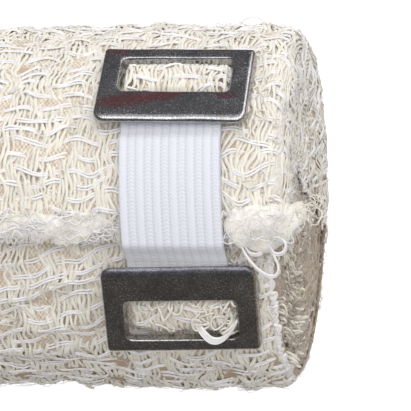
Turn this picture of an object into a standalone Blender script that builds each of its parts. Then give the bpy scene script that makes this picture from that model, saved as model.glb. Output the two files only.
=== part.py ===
"""A rolled crepe bandage whose loose end is held by an elastic clip.

Lengths are in metres. X runs along the roll, +Z is up, and the roll rests on z = 0. An angle round the roll
is in degrees: 0 faces -Y, 90 is the top, 180 faces +Y. The bandage comes over the top towards -Y and ends
there, so its turns get smaller as the angle grows.
"""

import collections
import math

import bpy
import numpy as np

MM = 0.001

# The bandage
BANDAGE_WIDTH = 60 * MM
ROLL_RADIUS = 23.9 * MM  # outside of the outermost turn, at its loose end
TURN_THICKNESS = 1.2 * MM  # one crinkled layer
AXIS_HEIGHT = 22.2 * MM  # less than the radius, so the roll has a flat spot
TURN_DRIFT = 1.7 * MM  # how far the outermost turn has crept sideways at its loose end
FREE_EDGE_ANGLE = 40.5  # where the loose end stops
LOOSE_END_SPAN = 114.0  # degrees of the outermost turn that are a sheet of their own
GAP = 0.35 * MM  # between pieces that touch

# The rim of the roll, and its end faces
RIM_RUN = 1.7 * MM
RIM_DROP = 1.3 * MM
FACE_DISH = 0.7 * MM
FACE_UNEVEN = 0.3 * MM
EDGE_TURN = 0.9 * MM  # the outermost turn's edge stands by itself
RIDGE_PITCH = 3 * TURN_THICKNESS  # each ridge of the spiral stands for three turns
RIDGE_RISE = 1.3 * MM

# The clip: two stamped plates and the elastic between them
PLATE_WIDTH = 19 * MM
PLATE_HEIGHT = 12.4 * MM
PLATE_SHEET = 0.35 * MM
WINDOW_WIDTH = 14 * MM
WINDOW_HEIGHT = 5.8 * MM
WINDOW_MARGIN = 1.75 * MM  # from the window to the plate's far edge
PLATE_DEPTH = 1.15 * MM  # from the face down to the foot of the side walls
PRESS_MARGIN = 0.8 * MM  # the plates press the cloth this far past their edges
PRESS_FADE = 2 * MM
WINDOW_DEPTH = 0.9 * MM
FAR_CORNER = 0.45 * MM
LIP_CORNER = 1.3 * MM
WINDOW_CORNER = 0.75 * MM
BAND_WIDTH = 12.6 * MM
BAND_THICKNESS = 1.25 * MM
BAND_PINCHED = 0.60 * MM  # its thickness inside the lips
BAND_RIBS = 12
BAND_RIB_RISE = 0.16 * MM
CLIP_MIDDLE_ANGLE = 55.0
CLIP_HALF_SPAN = 54.0  # degrees, over the elastic and both plates
CLIP_FADE_ANGLE = 7.0  # beyond which the cloth is no longer held smooth
CLIP_HOLD_FADE = 2.5 * MM
BAND_TOP_ANGLE = 81.5  # where its ends stop, under the plates
BAND_BOTTOM_ANGLE = 28.5
BAND_X_AT_TOP = 17.3 * MM
BAND_LEAN = 0.0203 * MM  # sideways, for each degree down
STEP_DOWN = (32.5, 40.0)  # between these angles the elastic comes down off the loose end

# Steps of the meshes
ROUND_STEPS = 80
LENGTH_STEPS = 18
SHEET_STEPS = 26
BAND_STEPS = 16
RIB_STEPS = 3
CORNER_STEPS = 5
SIDE_STEPS = 4

Plate = collections.namedtuple("Plate", "x angle reach normal_angle side_tilt turn lip_below")
# reach is the distance of the face's middle from the roll's axis. lip_below says which way the lip faces.
PLATES = {
    "clip_plate_upper": Plate(17.35 * MM, 88.0, 25.25 * MM, 92.7, 2.0, 0.7, True),
    "clip_plate_lower": Plate(18.45 * MM, 19.2, 24.77 * MM, 16.8, 5.0, -2.0, False),
}

LUMP_RISE = 0.16 * MM  # the whole roll is a little out of round
Fold = collections.namedtuple("Fold", "x angle half_length half_width slant rise")
# Soft ridges (rise over 0) and troughs of the cloth. slant is in degrees of angle for each metre of x.
FOLDS = (
    Fold(3 * MM, 27, 11 * MM, 4.5, 700, 0.55 * MM),
    Fold(0 * MM, 18, 12 * MM, 4.0, 650, -0.45 * MM),
    Fold(2 * MM, 10, 12 * MM, 4.5, 500, 0.50 * MM),
    Fold(-2 * MM, -2, 14 * MM, 4.5, 250, 0.60 * MM),
    Fold(-1 * MM, -12, 14 * MM, 4.5, 150, -0.60 * MM),
    Fold(-20 * MM, 15, 9 * MM, 7.0, -300, 0.45 * MM),
    Fold(-16 * MM, 75, 12 * MM, 9.0, 200, 0.35 * MM),
    Fold(-22 * MM, 120, 12 * MM, 8.0, -200, 0.40 * MM),
    Fold(12 * MM, 140, 14 * MM, 8.0, 150, 0.35 * MM),
    Fold(-5 * MM, 200, 18 * MM, 9.0, 100, 0.45 * MM),
    Fold(10 * MM, 235, 14 * MM, 9.0, -150, -0.40 * MM),
    Fold(18 * MM, 330, 12 * MM, 8.0, 200, 0.40 * MM),
    Fold(-14 * MM, 318, 12 * MM, 8.0, -150, 0.35 * MM),
)

EdgePoint = collections.namedtuple("EdgePoint", "x angle")
# The loose end's cut edge isn't straight.
FREE_EDGE = (
    EdgePoint(-30 * MM, 43.0),
    EdgePoint(-18 * MM, 41.0),
    EdgePoint(-2 * MM, 41.0),
    EdgePoint(4 * MM, 39.6),
    EdgePoint(10 * MM, 41.2),
    EdgePoint(18 * MM, 41.0),
    EdgePoint(25 * MM, 38.6),
    EdgePoint(29 * MM, 38.4),
    EdgePoint(33 * MM, 42.0),
)
EDGE_PUFF = 0.45 * MM  # how much the frayed edge swells
EDGE_PUFF_ANGLE = 9.0
CORNER_LIFT = 1.7 * MM  # the loose corner at +X stands off the roll
CORNER_LIFT_RUN = 8 * MM
CORNER_LIFT_ANGLE = 17.0


def smooth(t):
    """0 below 0, 1 above 1, and an S curve between."""
    t = np.clip(t, 0, 1)
    return t * t * (3 - 2 * t)


def hump(t):
    """1 at 0, falling in a cosine to 0 at -1 and 1."""
    return 0.5 + 0.5 * np.cos(np.pi * np.clip(t, -1, 1))


def at(x, angle, radius):
    """Points from their place along the roll, round it and out from its axis, flattened at the floor."""
    turn = np.radians(angle)
    x, y, z = np.broadcast_arrays(x, -radius * np.cos(turn), AXIS_HEIGHT + radius * np.sin(turn))
    return np.stack([x, y, np.maximum(z, 0)], axis=-1)


def axes_of(plate):
    """The middle of a plate's face, and its unit vectors: along it, from its lip to its far edge, and out."""
    turn = math.radians(plate.normal_angle)
    tilt = math.radians(plate.side_tilt)
    spin = math.radians(plate.turn)
    outwards = np.array([0, -math.cos(turn), math.sin(turn)])
    upwards = np.array([0, math.sin(turn), math.cos(turn)])
    lengthwise = np.array([1.0, 0, 0])
    normal = math.cos(tilt) * outwards + math.sin(tilt) * lengthwise
    level = math.cos(tilt) * lengthwise - math.sin(tilt) * outwards
    along = math.cos(spin) * level + math.sin(spin) * upwards
    across = math.cos(spin) * upwards - math.sin(spin) * level
    if not plate.lip_below:
        along, across = -along, -across
    return at(plate.x, plate.angle, plate.reach), along, across, normal


def turn_radius(angle):
    """The outside of the outermost turn, one layer less after a whole turn."""
    return ROLL_RADIUS - TURN_THICKNESS * (angle - FREE_EDGE_ANGLE) / 360


def edge_angle(x):
    """Where the loose end's cut edge is, at each place along it."""
    return np.interp(x, [p.x for p in FREE_EDGE], [p.angle for p in FREE_EDGE])


def near_clip(x, angle):
    """1 under the clip, where the cloth is pressed smooth, and 0 away from it."""
    middle = BAND_X_AT_TOP + BAND_LEAN * (BAND_TOP_ANGLE - angle)
    across = 1 - smooth((abs(x - middle) - PLATE_WIDTH / 2 - MM) / CLIP_HOLD_FADE)
    around = 1 - smooth((abs(angle - CLIP_MIDDLE_ANGLE) - CLIP_HALF_SPAN) / CLIP_FADE_ANGLE)
    return across * around


def relief(x, angle):
    """How far the cloth stands out of its plain spiral: lumps of the whole roll, and the table's folds."""
    turn = np.radians(angle)
    lumps = LUMP_RISE * (np.sin(3 * turn + 90 * x) + 0.8 * np.sin(5 * turn - 210 * x + 1))
    folds = 0
    for fold in FOLDS:
        off = (angle - fold.angle + 180) % 360 - 180 - fold.slant * (x - fold.x)
        folds = folds + fold.rise * hump((x - fold.x) / fold.half_length) * hump(off / fold.half_width)
    return (lumps + folds) * (1 - near_clip(x, angle))


def pressed(x, angle, radius):
    """The radius kept under each plate's walls."""
    for plate in PLATES.values():
        middle, along, across, normal = axes_of(plate)
        turn = np.radians(angle)
        way = -np.cos(turn) * normal[1] + np.sin(turn) * normal[2]
        axis_point = np.array([0, 0, AXIS_HEIGHT])
        reach = np.dot(middle - axis_point, normal) - PLATE_DEPTH - GAP - x * normal[0]
        limit = np.where(way > 0.5, reach / np.maximum(way, 0.5), 1.0)
        spot = at(x, angle, radius) - middle
        beside = np.maximum(abs(spot @ along) - PLATE_WIDTH / 2, abs(spot @ across) - PLATE_HEIGHT / 2)
        hold = 1 - smooth((beside - PRESS_MARGIN) / PRESS_FADE)
        radius = radius - hold * np.maximum(radius - limit, 0)
    return radius


def cloth_radius(x, angle):
    """The outside of the cloth, whichever layer is outermost there."""
    return pressed(x, angle, turn_radius(angle) + relief(x, angle))


def lower_layer_radius(x, angle):
    """The outside of the layer under the loose end, also past the loose end's edge."""
    covered = pressed(x, angle, turn_radius(angle) + relief(x, angle)) - TURN_THICKNESS - GAP
    bare = pressed(x, angle + 360, turn_radius(angle + 360) + relief(x, angle))
    return bare + (covered - bare) * smooth((angle - edge_angle(x) + 5) / 3)


def joined(points, faces):
    """Points that lie together made one, and the faces that collapse with them dropped."""
    _, first, number = np.unique(np.round(points, 7), axis=0, return_index=True, return_inverse=True)
    rows = [list(dict.fromkeys(face)) for face in number.reshape(-1)[faces].tolist()]
    return points[first], [row for row in rows if len(row) > 2]


def mesh_object(name, points, faces, colour, metallic, roughness):
    """One closed mesh with its own material, its faces turned outwards."""
    corners = points[faces]
    fans = np.concatenate([corners[:, [0, 1, 2]], corners[:, [0, 2, 3]]])
    if np.linalg.det(fans).sum() < 0:
        faces = faces[:, ::-1]
    points, rows = joined(points, faces)
    mesh = bpy.data.meshes.new(name)
    mesh.from_pydata(points.tolist(), [], rows)
    mesh.shade_smooth()
    mesh.set_sharp_from_angle(angle=math.radians(40))
    made = bpy.data.objects.new(name, mesh)
    bpy.context.scene.collection.objects.link(made)
    material = bpy.data.materials.new(name + "_finish")
    material.use_nodes = True
    shader = material.node_tree.nodes["Principled BSDF"]
    shader.inputs["Base Color"].default_value = (*colour, 1)
    shader.inputs["Metallic"].default_value = metallic
    shader.inputs["Roughness"].default_value = roughness
    mesh.materials.append(material)
    return made


def quads_between(first, second):
    """Quads between two closed rows of point numbers."""
    return np.stack([first, second, np.roll(second, -1, axis=-1), np.roll(first, -1, axis=-1)], axis=-1)


def slab_mesh(outer, inner):
    """Points and quads of a closed slab, from the grids of its outer and inner faces."""
    rings = np.concatenate([outer, inner[:, ::-1]], axis=1)
    count, length = rings.shape[:2]
    number = np.arange(count * length).reshape(count, length)
    sides = quads_between(number[:-1], number[1:]).reshape(-1, 4)
    half = length // 2
    low, high = number[0, :half], number[0, half:][::-1]
    start = np.stack([low[:-1], low[1:], high[1:], high[:-1]], axis=-1)
    low, high = number[-1, :half], number[-1, half:][::-1]
    end = np.stack([low[1:], low[:-1], high[:-1], high[1:]], axis=-1)
    return rings.reshape(-1, 3), np.concatenate([sides, start, end])


def roll_angles():
    """Angles round the roll from the loose end's far side, once round, with a step where that sheet begins."""
    start = FREE_EDGE_ANGLE + LOOSE_END_SPAN
    under = np.linspace(start - 360, FREE_EDGE_ANGLE - 12, int(ROUND_STEPS * 0.6), endpoint=False)
    front = np.linspace(FREE_EDGE_ANGLE - 12, FREE_EDGE_ANGLE + 6, 8, endpoint=False)
    over = np.linspace(FREE_EDGE_ANGLE + 6, start, int(ROUND_STEPS * 0.3))
    return np.concatenate([under, front, over])


def roll_radius(x, angle):
    """The wound body: the outermost turn itself where the loose end's sheet doesn't cover it."""
    bare_turn = cloth_radius(x, angle + 360)
    under_sheet = lower_layer_radius(x, angle)
    back = smooth((FREE_EDGE_ANGLE - 30 - angle) / 20)
    return under_sheet + (bare_turn - under_sheet) * back


def sideways(angle):
    """How far the outermost turn has crept towards +X: all its drift at the loose end, none a turn later."""
    return TURN_DRIFT * (1 - np.clip((angle - FREE_EDGE_ANGLE) / 360, 0, 1))


def roll_drift(angle):
    """The roll's own skin drifts where it is the outermost turn, and not under the loose end."""
    return sideways(angle + 360) * (angle < FREE_EDGE_ANGLE)


def face_rows(angle, side):
    """Rows of an end face from the rim to the hub: the outermost turn's edge, then a spiral of ridges.

    The spiral's rows keep to a ridge or a trough all the way round, so each ends one pitch further out than it
    began. Rows that would pass the rim or the hub collapse onto it.
    """
    half = BANDAGE_WIDTH / 2
    rim = roll_radius(side * half, angle) - RIM_DROP
    drift = roll_drift(angle)
    rows = [at(side * half + drift, angle, rim - EDGE_TURN)]
    inner_rim = rim - EDGE_TURN - 0.25 * MM
    turned = (angle - angle[0]) / 360
    for row in range(math.ceil(ROLL_RADIUS / RIDGE_PITCH * 2) + 2, -1, -1):
        radius = np.clip(RIDGE_PITCH / 2 * (row - 2 * turned), 0, inner_rim)
        share = radius / ROLL_RADIUS
        ridge = RIDGE_RISE * (0.5 if row % 2 else -0.5) * np.sqrt(share) * (radius < inner_rim)
        uneven = FACE_UNEVEN * np.sin(3 * np.radians(angle) - 6 * share + side) * share
        out = half - FACE_DISH * (1 - share**2) + (ridge + uneven) * smooth(radius / RIDGE_PITCH)
        rows.append(at(side * out, angle, radius))
    return rows


def build_roll():
    """The wound body: a skin from rim to rim, and an end face on each side whose rows wind inwards."""
    angle = roll_angles()
    half = BANDAGE_WIDTH / 2
    bend = np.radians(np.linspace(0, 90, 5))
    rim_x = half - RIM_RUN * (1 - np.sin(bend))
    rim_drop = RIM_DROP * (1 - np.cos(bend))
    middle_x = np.linspace(-rim_x[0], rim_x[0], LENGTH_STEPS)[1:-1]
    x = np.concatenate([-rim_x[::-1], middle_x, rim_x])[:, None]
    drop = np.concatenate([rim_drop[::-1], 0 * middle_x, rim_drop])[:, None]
    skin = at(x + roll_drift(angle), angle, roll_radius(x, angle) - drop)
    left, right = face_rows(angle, -1), face_rows(angle, 1)
    points = np.concatenate([left[::-1], skin, right])
    count, length = points.shape[:2]
    number = np.arange(count * length).reshape(count, length)
    faces = [quads_between(number[:-1], number[1:])[:, :-1].reshape(-1, 4)]
    # Round the seam each spiral row meets the row a whole pitch further in.
    after = number[:, 0].copy()
    spiral = len(left) - 1
    after[2:spiral] = number[: spiral - 2, 0]
    after[:2] = number[0, 0]
    after[-spiral:-2] = number[count - spiral + 2 :, 0]
    after[-2:] = number[-1, 0]
    last = number[:, -1]
    faces.append(np.stack([last[:-1], last[1:], after[1:], after[:-1]], axis=-1))
    mesh_object("bandage_roll", points.reshape(-1, 3), np.concatenate(faces), (0.83, 0.78, 0.66), 0, 0.9)


def build_loose_end():
    """The outermost turn's last stretch, lying on the roll, its cut edge swollen and its corner lifted."""
    half = BANDAGE_WIDTH / 2
    edge = np.array([0, 0.5, 1.2]) * MM
    middle = np.linspace(-half + 2.6 * MM, half - 2.6 * MM, SHEET_STEPS)
    across = np.concatenate([-half + edge, middle, (half - edge)[::-1]])[:, None]
    ends = np.minimum(half - abs(across), 1.2 * MM) / (1.2 * MM)
    run = np.concatenate([[0, 0.007, 0.025], np.linspace(0.06, 1, SHEET_STEPS)])[None, :]
    first = edge_angle(across + TURN_DRIFT)
    last = FREE_EDGE_ANGLE + LOOSE_END_SPAN - math.degrees(GAP / ROLL_RADIUS)
    angle = first + (last - first) * run
    x = across + sideways(angle)
    past_edge = angle - first
    free = 1 - near_clip(x, angle)
    puff = EDGE_PUFF * hump((past_edge - 3) / EDGE_PUFF_ANGLE) * free
    corner = smooth(1 - (half + TURN_DRIFT - x) / CORNER_LIFT_RUN) * smooth(1 - past_edge / CORNER_LIFT_ANGLE)
    lift = CORNER_LIFT * corner
    outer = cloth_radius(x, angle) + puff + lift
    inner = cloth_radius(x, angle) - TURN_THICKNESS + lift
    rounding = np.where(ends < 1, 0.45 + 0.55 * np.sqrt(ends), 1.0)
    rounding = rounding * np.where(past_edge < 1.5, 0.5 + 0.5 * np.sqrt(past_edge / 1.5), 1.0)
    middle_radius = (outer + inner) / 2
    thick = (outer - inner) * rounding
    outer_grid = at(x, angle, middle_radius + thick / 2)
    inner_grid = at(x, angle, middle_radius - thick / 2)
    points, faces = slab_mesh(outer_grid, inner_grid)
    mesh_object("loose_end", points, faces, (0.86, 0.81, 0.70), 0, 0.9)


def build_band():
    """The elastic: a strip over the loose end's step, ribbed along its length, thinner inside the lips."""
    share = np.linspace(0, 1, BAND_RIBS * RIB_STEPS + 1)[:, None]
    angle = np.linspace(BAND_BOTTOM_ANGLE, BAND_TOP_ANGLE, BAND_STEPS)[None, :]
    x = BAND_X_AT_TOP + BAND_LEAN * (BAND_TOP_ANGLE - angle) + BAND_WIDTH * (share - 0.5)
    up = smooth((angle - STEP_DOWN[0]) / (STEP_DOWN[1] - STEP_DOWN[0]))
    low = turn_radius(angle + 360)
    inner = low + (turn_radius(angle) - low) * up + GAP
    lips = np.maximum(smooth((angle - 69) / 4), smooth((40 - angle) / 4))
    thickness = BAND_THICKNESS + (BAND_PINCHED - BAND_THICKNESS) * lips
    wave = abs(np.sin(np.pi * BAND_RIBS * share))
    outer = inner + thickness - BAND_RIB_RISE * (1 - wave) * (1 - 0.5 * lips)
    points, faces = slab_mesh(at(x, angle, outer), at(x, angle, inner))
    mesh_object("clip_band", points, faces, (0.88, 0.88, 0.93), 0, 0.7)


def rounded_loop(half_width, far, near, far_corner, near_corner):
    """Points round a rectangle with rounded corners, anticlockwise from its right side's lower end."""
    corners = (
        (half_width - near_corner, near + near_corner, near_corner, -90),
        (half_width - far_corner, far - far_corner, far_corner, 0),
        (far_corner - half_width, far - far_corner, far_corner, 90),
        (near_corner - half_width, near + near_corner, near_corner, 180),
    )
    arcs = []
    for middle_a, middle_b, radius, start in corners:
        turn = np.radians(np.linspace(start, start + 90, CORNER_STEPS))
        arcs.append(np.stack([middle_a + radius * np.cos(turn), middle_b + radius * np.sin(turn)], axis=-1))
    pieces = []
    for arc, following in zip(arcs, arcs[1:] + arcs[:1]):
        share = np.linspace(0, 1, SIDE_STEPS + 1)[1:-1, None]
        pieces += [arc, arc[-1] + (following[0] - arc[-1]) * share]
    return np.concatenate(pieces)


ProfilePoint = collections.namedtuple("ProfilePoint", "out height lip_out lip_height")
# Across the plate's rim, from the outer foot of its wall to the face, and back up inside the wall.
# out is measured from the outline, height from the face, and the lip has its own.
RIM_OUTSIDE = (
    ProfilePoint(0.25 * MM, -PLATE_DEPTH, -0.30 * MM, -1.05 * MM),
    ProfilePoint(0.08 * MM, -0.40 * MM, 0.00 * MM, -0.55 * MM),
    ProfilePoint(-0.08 * MM, -0.10 * MM, -0.22 * MM, -0.16 * MM),
    ProfilePoint(-0.35 * MM, 0.00 * MM, -0.80 * MM, 0.00 * MM),
)
RIM_INSIDE = (
    ProfilePoint(-0.42 * MM, -PLATE_SHEET, -0.80 * MM, -0.42 * MM),
    ProfilePoint(-0.09 * MM, -PLATE_DEPTH, -0.63 * MM, -0.92 * MM),
)
# Across the window's rim, from the face down its wall and back up behind it.
WINDOW_RIM = (
    ProfilePoint(-0.30 * MM, 0.00 * MM, -0.30 * MM, 0.00 * MM),
    ProfilePoint(-0.06 * MM, -0.12 * MM, -0.06 * MM, -0.12 * MM),
    ProfilePoint(0.24 * MM, -WINDOW_DEPTH, 0.24 * MM, -WINDOW_DEPTH),
    ProfilePoint(-0.10 * MM, -WINDOW_DEPTH, -0.10 * MM, -WINDOW_DEPTH),
    ProfilePoint(-0.40 * MM, -PLATE_SHEET, -0.40 * MM, -PLATE_SHEET),
)


def build_plate(name, plate):
    """A stamped tray: walls that flare out, a rolled lip over the elastic, and a window with a wall of its own."""
    middle, along, across, normal = axes_of(plate)
    rows = []
    for point in RIM_OUTSIDE:
        rows.append(outline_row(point))
    for point in WINDOW_RIM:
        rows.append(window_row(point))
    for point in RIM_INSIDE:
        rows.append(outline_row(point))
    local = np.array(rows)
    points = middle + local[..., :1] * along + local[..., 1:2] * across + local[..., 2:] * normal
    count, length = points.shape[:2]
    number = np.arange(count * length).reshape(count, length)
    faces = quads_between(number, np.roll(number, -1, axis=0)).reshape(-1, 4)
    mesh_object(name, points.reshape(-1, 3), faces, (0.45, 0.45, 0.44), 1, 0.25)


def outline_row(point):
    """One row round the plate, its lip side with a height of its own."""
    half_height = PLATE_HEIGHT / 2
    far_corner = max(FAR_CORNER + point.out, 0.1 * MM)
    lip_corner = LIP_CORNER + point.out
    flat = rounded_loop(
        PLATE_WIDTH / 2 + point.out, half_height + point.out, -half_height - point.lip_out, far_corner, lip_corner
    )
    on_lip = smooth((-half_height + lip_corner - flat[:, 1]) / lip_corner)
    height = point.height + (point.lip_height - point.height) * on_lip
    return np.column_stack([flat, height])


def window_row(point):
    """One row round the window, which out makes smaller."""
    far = PLATE_HEIGHT / 2 - WINDOW_MARGIN
    corner = max(WINDOW_CORNER - point.out, 0.1 * MM)
    flat = rounded_loop(
        WINDOW_WIDTH / 2 - point.out, far - point.out, far - WINDOW_HEIGHT + point.out, corner, corner
    )
    return np.column_stack([flat, np.full(len(flat), point.height)])


def main():
    for old in list(bpy.data.objects):
        bpy.data.objects.remove(old, do_unlink=True)
    build_roll()
    build_loose_end()
    build_band()
    for name, plate in PLATES.items():
        build_plate(name, plate)


main()
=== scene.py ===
"""A rolled crepe bandage and its elastic clip: cloth, yarns, elastic and plates over the solids.

Lengths are in metres. X runs along the roll, +Z is up, and the roll rests on z = 0. An angle round
the roll is in degrees: 0 faces -Y, 90 is the top, 180 faces +Y. The bandage comes over the top
towards -Y and its cut edge lies at about 40, so the angle grows along the cloth from that edge
inwards, turn after turn.
"""

import collections
import math

import bpy
import numpy as np
from bpy.props import FloatProperty, FloatVectorProperty, IntProperty, PointerProperty
from mathutils import Matrix, Vector


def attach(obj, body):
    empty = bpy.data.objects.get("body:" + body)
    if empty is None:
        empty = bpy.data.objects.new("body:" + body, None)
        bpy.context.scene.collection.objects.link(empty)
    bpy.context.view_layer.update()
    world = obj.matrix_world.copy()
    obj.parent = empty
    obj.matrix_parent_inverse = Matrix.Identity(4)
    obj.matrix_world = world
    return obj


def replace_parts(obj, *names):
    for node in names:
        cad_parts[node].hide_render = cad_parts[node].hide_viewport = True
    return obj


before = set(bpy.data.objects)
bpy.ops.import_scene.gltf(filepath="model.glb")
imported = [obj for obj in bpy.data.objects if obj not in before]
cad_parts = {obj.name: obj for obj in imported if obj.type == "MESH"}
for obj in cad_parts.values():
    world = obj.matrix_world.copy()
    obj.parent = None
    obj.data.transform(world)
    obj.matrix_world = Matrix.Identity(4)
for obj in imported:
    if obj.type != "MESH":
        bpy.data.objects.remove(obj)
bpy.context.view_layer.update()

bl_info = {
    "name": "Crepe bandage roll",
    "version": (1, 0, 0),
    "blender": (4, 5, 0),
    "location": "View3D > Sidebar > Bandage",
    "description": "Builds the yarns, elastic and clip plates of a rolled crepe bandage",
    "category": "Object",
}

MM = 0.001

# The bandage, as its solids have it
BANDAGE_WIDTH = 60 * MM
HALF_WIDTH = BANDAGE_WIDTH / 2
ROLL_RADIUS = 23.9 * MM
TURN_THICKNESS = 1.2 * MM
AXIS_HEIGHT = 22.2 * MM
TURN_DRIFT = 1.7 * MM
CUT_EDGE_ANGLE = 40.5
LOOSE_END_SPAN = 114.0
LOOSE_END_TO = CUT_EDGE_ANGLE + LOOSE_END_SPAN
GAP = 0.35 * MM
SHOULDER = 3.0 * MM  # radius of the cloth's turn at each end of the roll
FOLD_OVER = 15.0 * MM  # how much of the outermost turn lies over the +X end face
FOLD_LEAN = 0.03  # it leans inwards by this share of the distance from the rim
FOLD_END = (205.0, 245.0)  # between these angles it runs out
FACE_DISH = 0.7 * MM  # how much deeper the end faces are in the middle
DISH_FROM = 420  # the dish starts a turn inside the rim, and is full after this many degrees
DISH_RUN = 200
EDGE_PUFF = 0.45 * MM
EDGE_PUFF_ANGLE = 9.0
CORNER_LIFT = 1.7 * MM
CORNER_LIFT_RUN = 8 * MM
CORNER_LIFT_ANGLE = 17.0
TURNS = 19

# The clip, as its solids have it
PLATE_WIDTH = 19 * MM
PLATE_HEIGHT = 12.4 * MM
PLATE_SHEET = 0.35 * MM
WINDOW_WIDTH = 14 * MM
WINDOW_HEIGHT = 5.8 * MM
WINDOW_MARGIN = 1.75 * MM
PLATE_DEPTH = 1.15 * MM
PRESS_MARGIN = 0.8 * MM
PRESS_FADE = 2 * MM
WINDOW_DEPTH = 0.9 * MM
FAR_CORNER = 0.45 * MM
LIP_CORNER = 1.3 * MM
WINDOW_CORNER = 0.75 * MM
BAND_WIDTH = 12.6 * MM
BAND_THICKNESS = 1.25 * MM
BAND_PINCHED = 0.60 * MM
BAND_RIBS = 12
CLIP_MIDDLE_ANGLE = 55.0
CLIP_HALF_SPAN = 54.0
CLIP_FADE_ANGLE = 7.0
CLIP_HOLD_FADE = 2.5 * MM
BAND_TOP_ANGLE = 81.5
BAND_BOTTOM_ANGLE = 28.5
BAND_X_AT_TOP = 17.3 * MM
BAND_LEAN = 0.0203 * MM
STEP_DOWN = (32.5, 40.0)  # between these angles the band steps down from the loose end
PINCH = (40.0, 69.0)  # outside these angles the plates' lips pinch it

Plate = collections.namedtuple("Plate", "x angle reach normal_angle side_tilt turn lip_below")
PLATES = {
    "clip_plate_upper": Plate(17.35 * MM, 88.0, 25.25 * MM, 92.7, 2.0, 0.7, True),
    "clip_plate_lower": Plate(18.45 * MM, 19.2, 24.77 * MM, 16.8, 5.0, -2.0, False),
}

LUMP_RISE = 0.16 * MM
RELIEF_LEFT = 0.7  # the share of the relief that is left one turn further in
Fold = collections.namedtuple("Fold", "x angle half_length half_width slant rise")
# Soft ridges and troughs of the cloth: the place and size of each in millimetres and degrees. slant
# is
# in degrees of angle for each metre of x.
FOLD_TABLE = (
    (3, 27, 11, 4.5, 700, 0.55),
    (0, 18, 12, 4.0, 650, -0.45),
    (2, 10, 12, 4.5, 500, 0.50),
    (-2, -2, 14, 4.5, 250, 0.60),
    (-1, -12, 14, 4.5, 150, -0.60),
    (-20, 15, 9, 7.0, -300, 0.45),
    (-16, 75, 12, 9.0, 200, 0.35),
    (-22, 120, 12, 8.0, -200, 0.40),
    (12, 140, 14, 8.0, 150, 0.35),
    (-5, 200, 18, 9.0, 100, 0.45),
    (10, 235, 14, 9.0, -150, -0.40),
    (18, 330, 12, 8.0, 200, 0.40),
    (-14, 318, 12, 8.0, -150, 0.35),
)
FOLDS = [
    Fold(x * MM, angle, half_length * MM, half_width, slant, rise * MM)
    for x, angle, half_length, half_width, slant, rise in FOLD_TABLE
]
# The cut edge's angle at each x, in millimetres
CUT_EDGE = np.array([
    (-30, 43.0), (-18, 41.0), (-2, 41.0), (4, 39.6), (10, 41.2), (18, 41.0), (25, 38.6),
    (29, 38.4), (33, 42.0),
])

# The weave
BASE_DEPTH = 0.22 * MM  # the ground cloth lies this far under the outside of the bandage
BASE_THICKNESS = 0.45 * MM
YARN_DEPTH = 0.17 * MM  # the middle of the woven layer
WEAVE_RISE = 0.11 * MM  # how far a yarn goes over and under
WARP_SQUASH = 0.55  # a warp is this share as high as it is wide
WEFT_SQUASH = 0.75
CROSSING_RISE = 0.18 * MM  # how far a single warp stands over a weft float
# How far the cloth stands up in each plate's window
WINDOW_BULGE = {"clip_plate_upper": 1.38 * MM, "clip_plate_lower": 1.30 * MM}
SCALLOP = 0.20 * MM  # small unevenness of the outermost turn
# Where two of every three crosswise rows end on the folded part, from the cloth's middle
FOLD_STOPS = np.array([np.inf, 36.5 * MM, 40.5 * MM])
FRONT_FROM = 318  # the yarns of the back run to this angle, and those of the bare front on from it
FRONT_WARPS_TO = 409
FRONT_WEFTS_TO = 422
EDGE_YARNS_FROM = 740  # edge yarns wind inwards from two turns inside the cut edge
RIM_LOOPS_TO = 425  # the rim has loops all the way to this angle, and a few further in
RIM_LOOPS_THICK = 332  # and thicker ones from this angle on
NEAR_LOWER_WINDOW = (340, 400)  # the outermost turn's angles round the lower plate's window
UNSEEN_FROM = 520  # the ground cloth is drawn in fewer steps from this angle on

# The view
IMAGE_SIZE = 411
FOCAL_PIXELS = 2447.0
VIEW_ANGLE = 50.0
VIEW_YAW = 10.9
# The camera's place from the roll's axis: along X, outwards at VIEW_ANGLE, and up
CAMERA_AT = (78.66 * MM, 317.53 * MM, 0.33 * MM)


# ---------------------------------------------------------------- the shape of the roll


def smooth(t):
    """0 below 0, 1 above 1, and an S curve between."""
    t = np.clip(t, 0, 1)
    return t * t * (3 - 2 * t)


def hump(t):
    """1 at 0, falling in a cosine to 0 at -1 and 1."""
    return 0.5 + 0.5 * np.cos(np.pi * np.clip(t, -1, 1))


def arch(t):
    """Half a sine wave: 0 at 0 and 1, and 1 between."""
    return np.sin(np.pi * t)


def place(x, angle, radius, floor=0.0):
    """Points at x, an angle round the roll and a distance from its axis, none under the floor."""
    turn = np.radians(angle)
    x, y, z = np.broadcast_arrays(x, -radius * np.cos(turn), AXIS_HEIGHT + radius * np.sin(turn))
    return np.stack([x, y, np.maximum(z, floor)], axis=-1)


def outwards_at(angle):
    """Unit vectors straight away from the roll's axis."""
    turn = np.radians(angle)
    return np.stack([0 * turn, -np.cos(turn), np.sin(turn)], axis=-1)


def axes_of(plate):
    """A plate's middle, and its unit vectors: along it, from its lip to its far edge, and out."""
    turn = math.radians(plate.normal_angle)
    tilt = math.radians(plate.side_tilt)
    spin = math.radians(plate.turn)
    outwards = np.array([0, -math.cos(turn), math.sin(turn)])
    upwards = np.array([0, math.sin(turn), math.cos(turn)])
    lengthwise = np.array([1.0, 0, 0])
    normal = math.cos(tilt) * outwards + math.sin(tilt) * lengthwise
    level = math.cos(tilt) * lengthwise - math.sin(tilt) * outwards
    along = math.cos(spin) * level + math.sin(spin) * upwards
    across = math.cos(spin) * upwards - math.sin(spin) * level
    if not plate.lip_below:
        along, across = -along, -across
    return place(plate.x, plate.angle, plate.reach), along, across, normal


def turn_radius(angle):
    """The outside of each turn of the spiral, one layer less after a whole turn."""
    return ROLL_RADIUS - TURN_THICKNESS * (angle - CUT_EDGE_ANGLE) / 360


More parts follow.
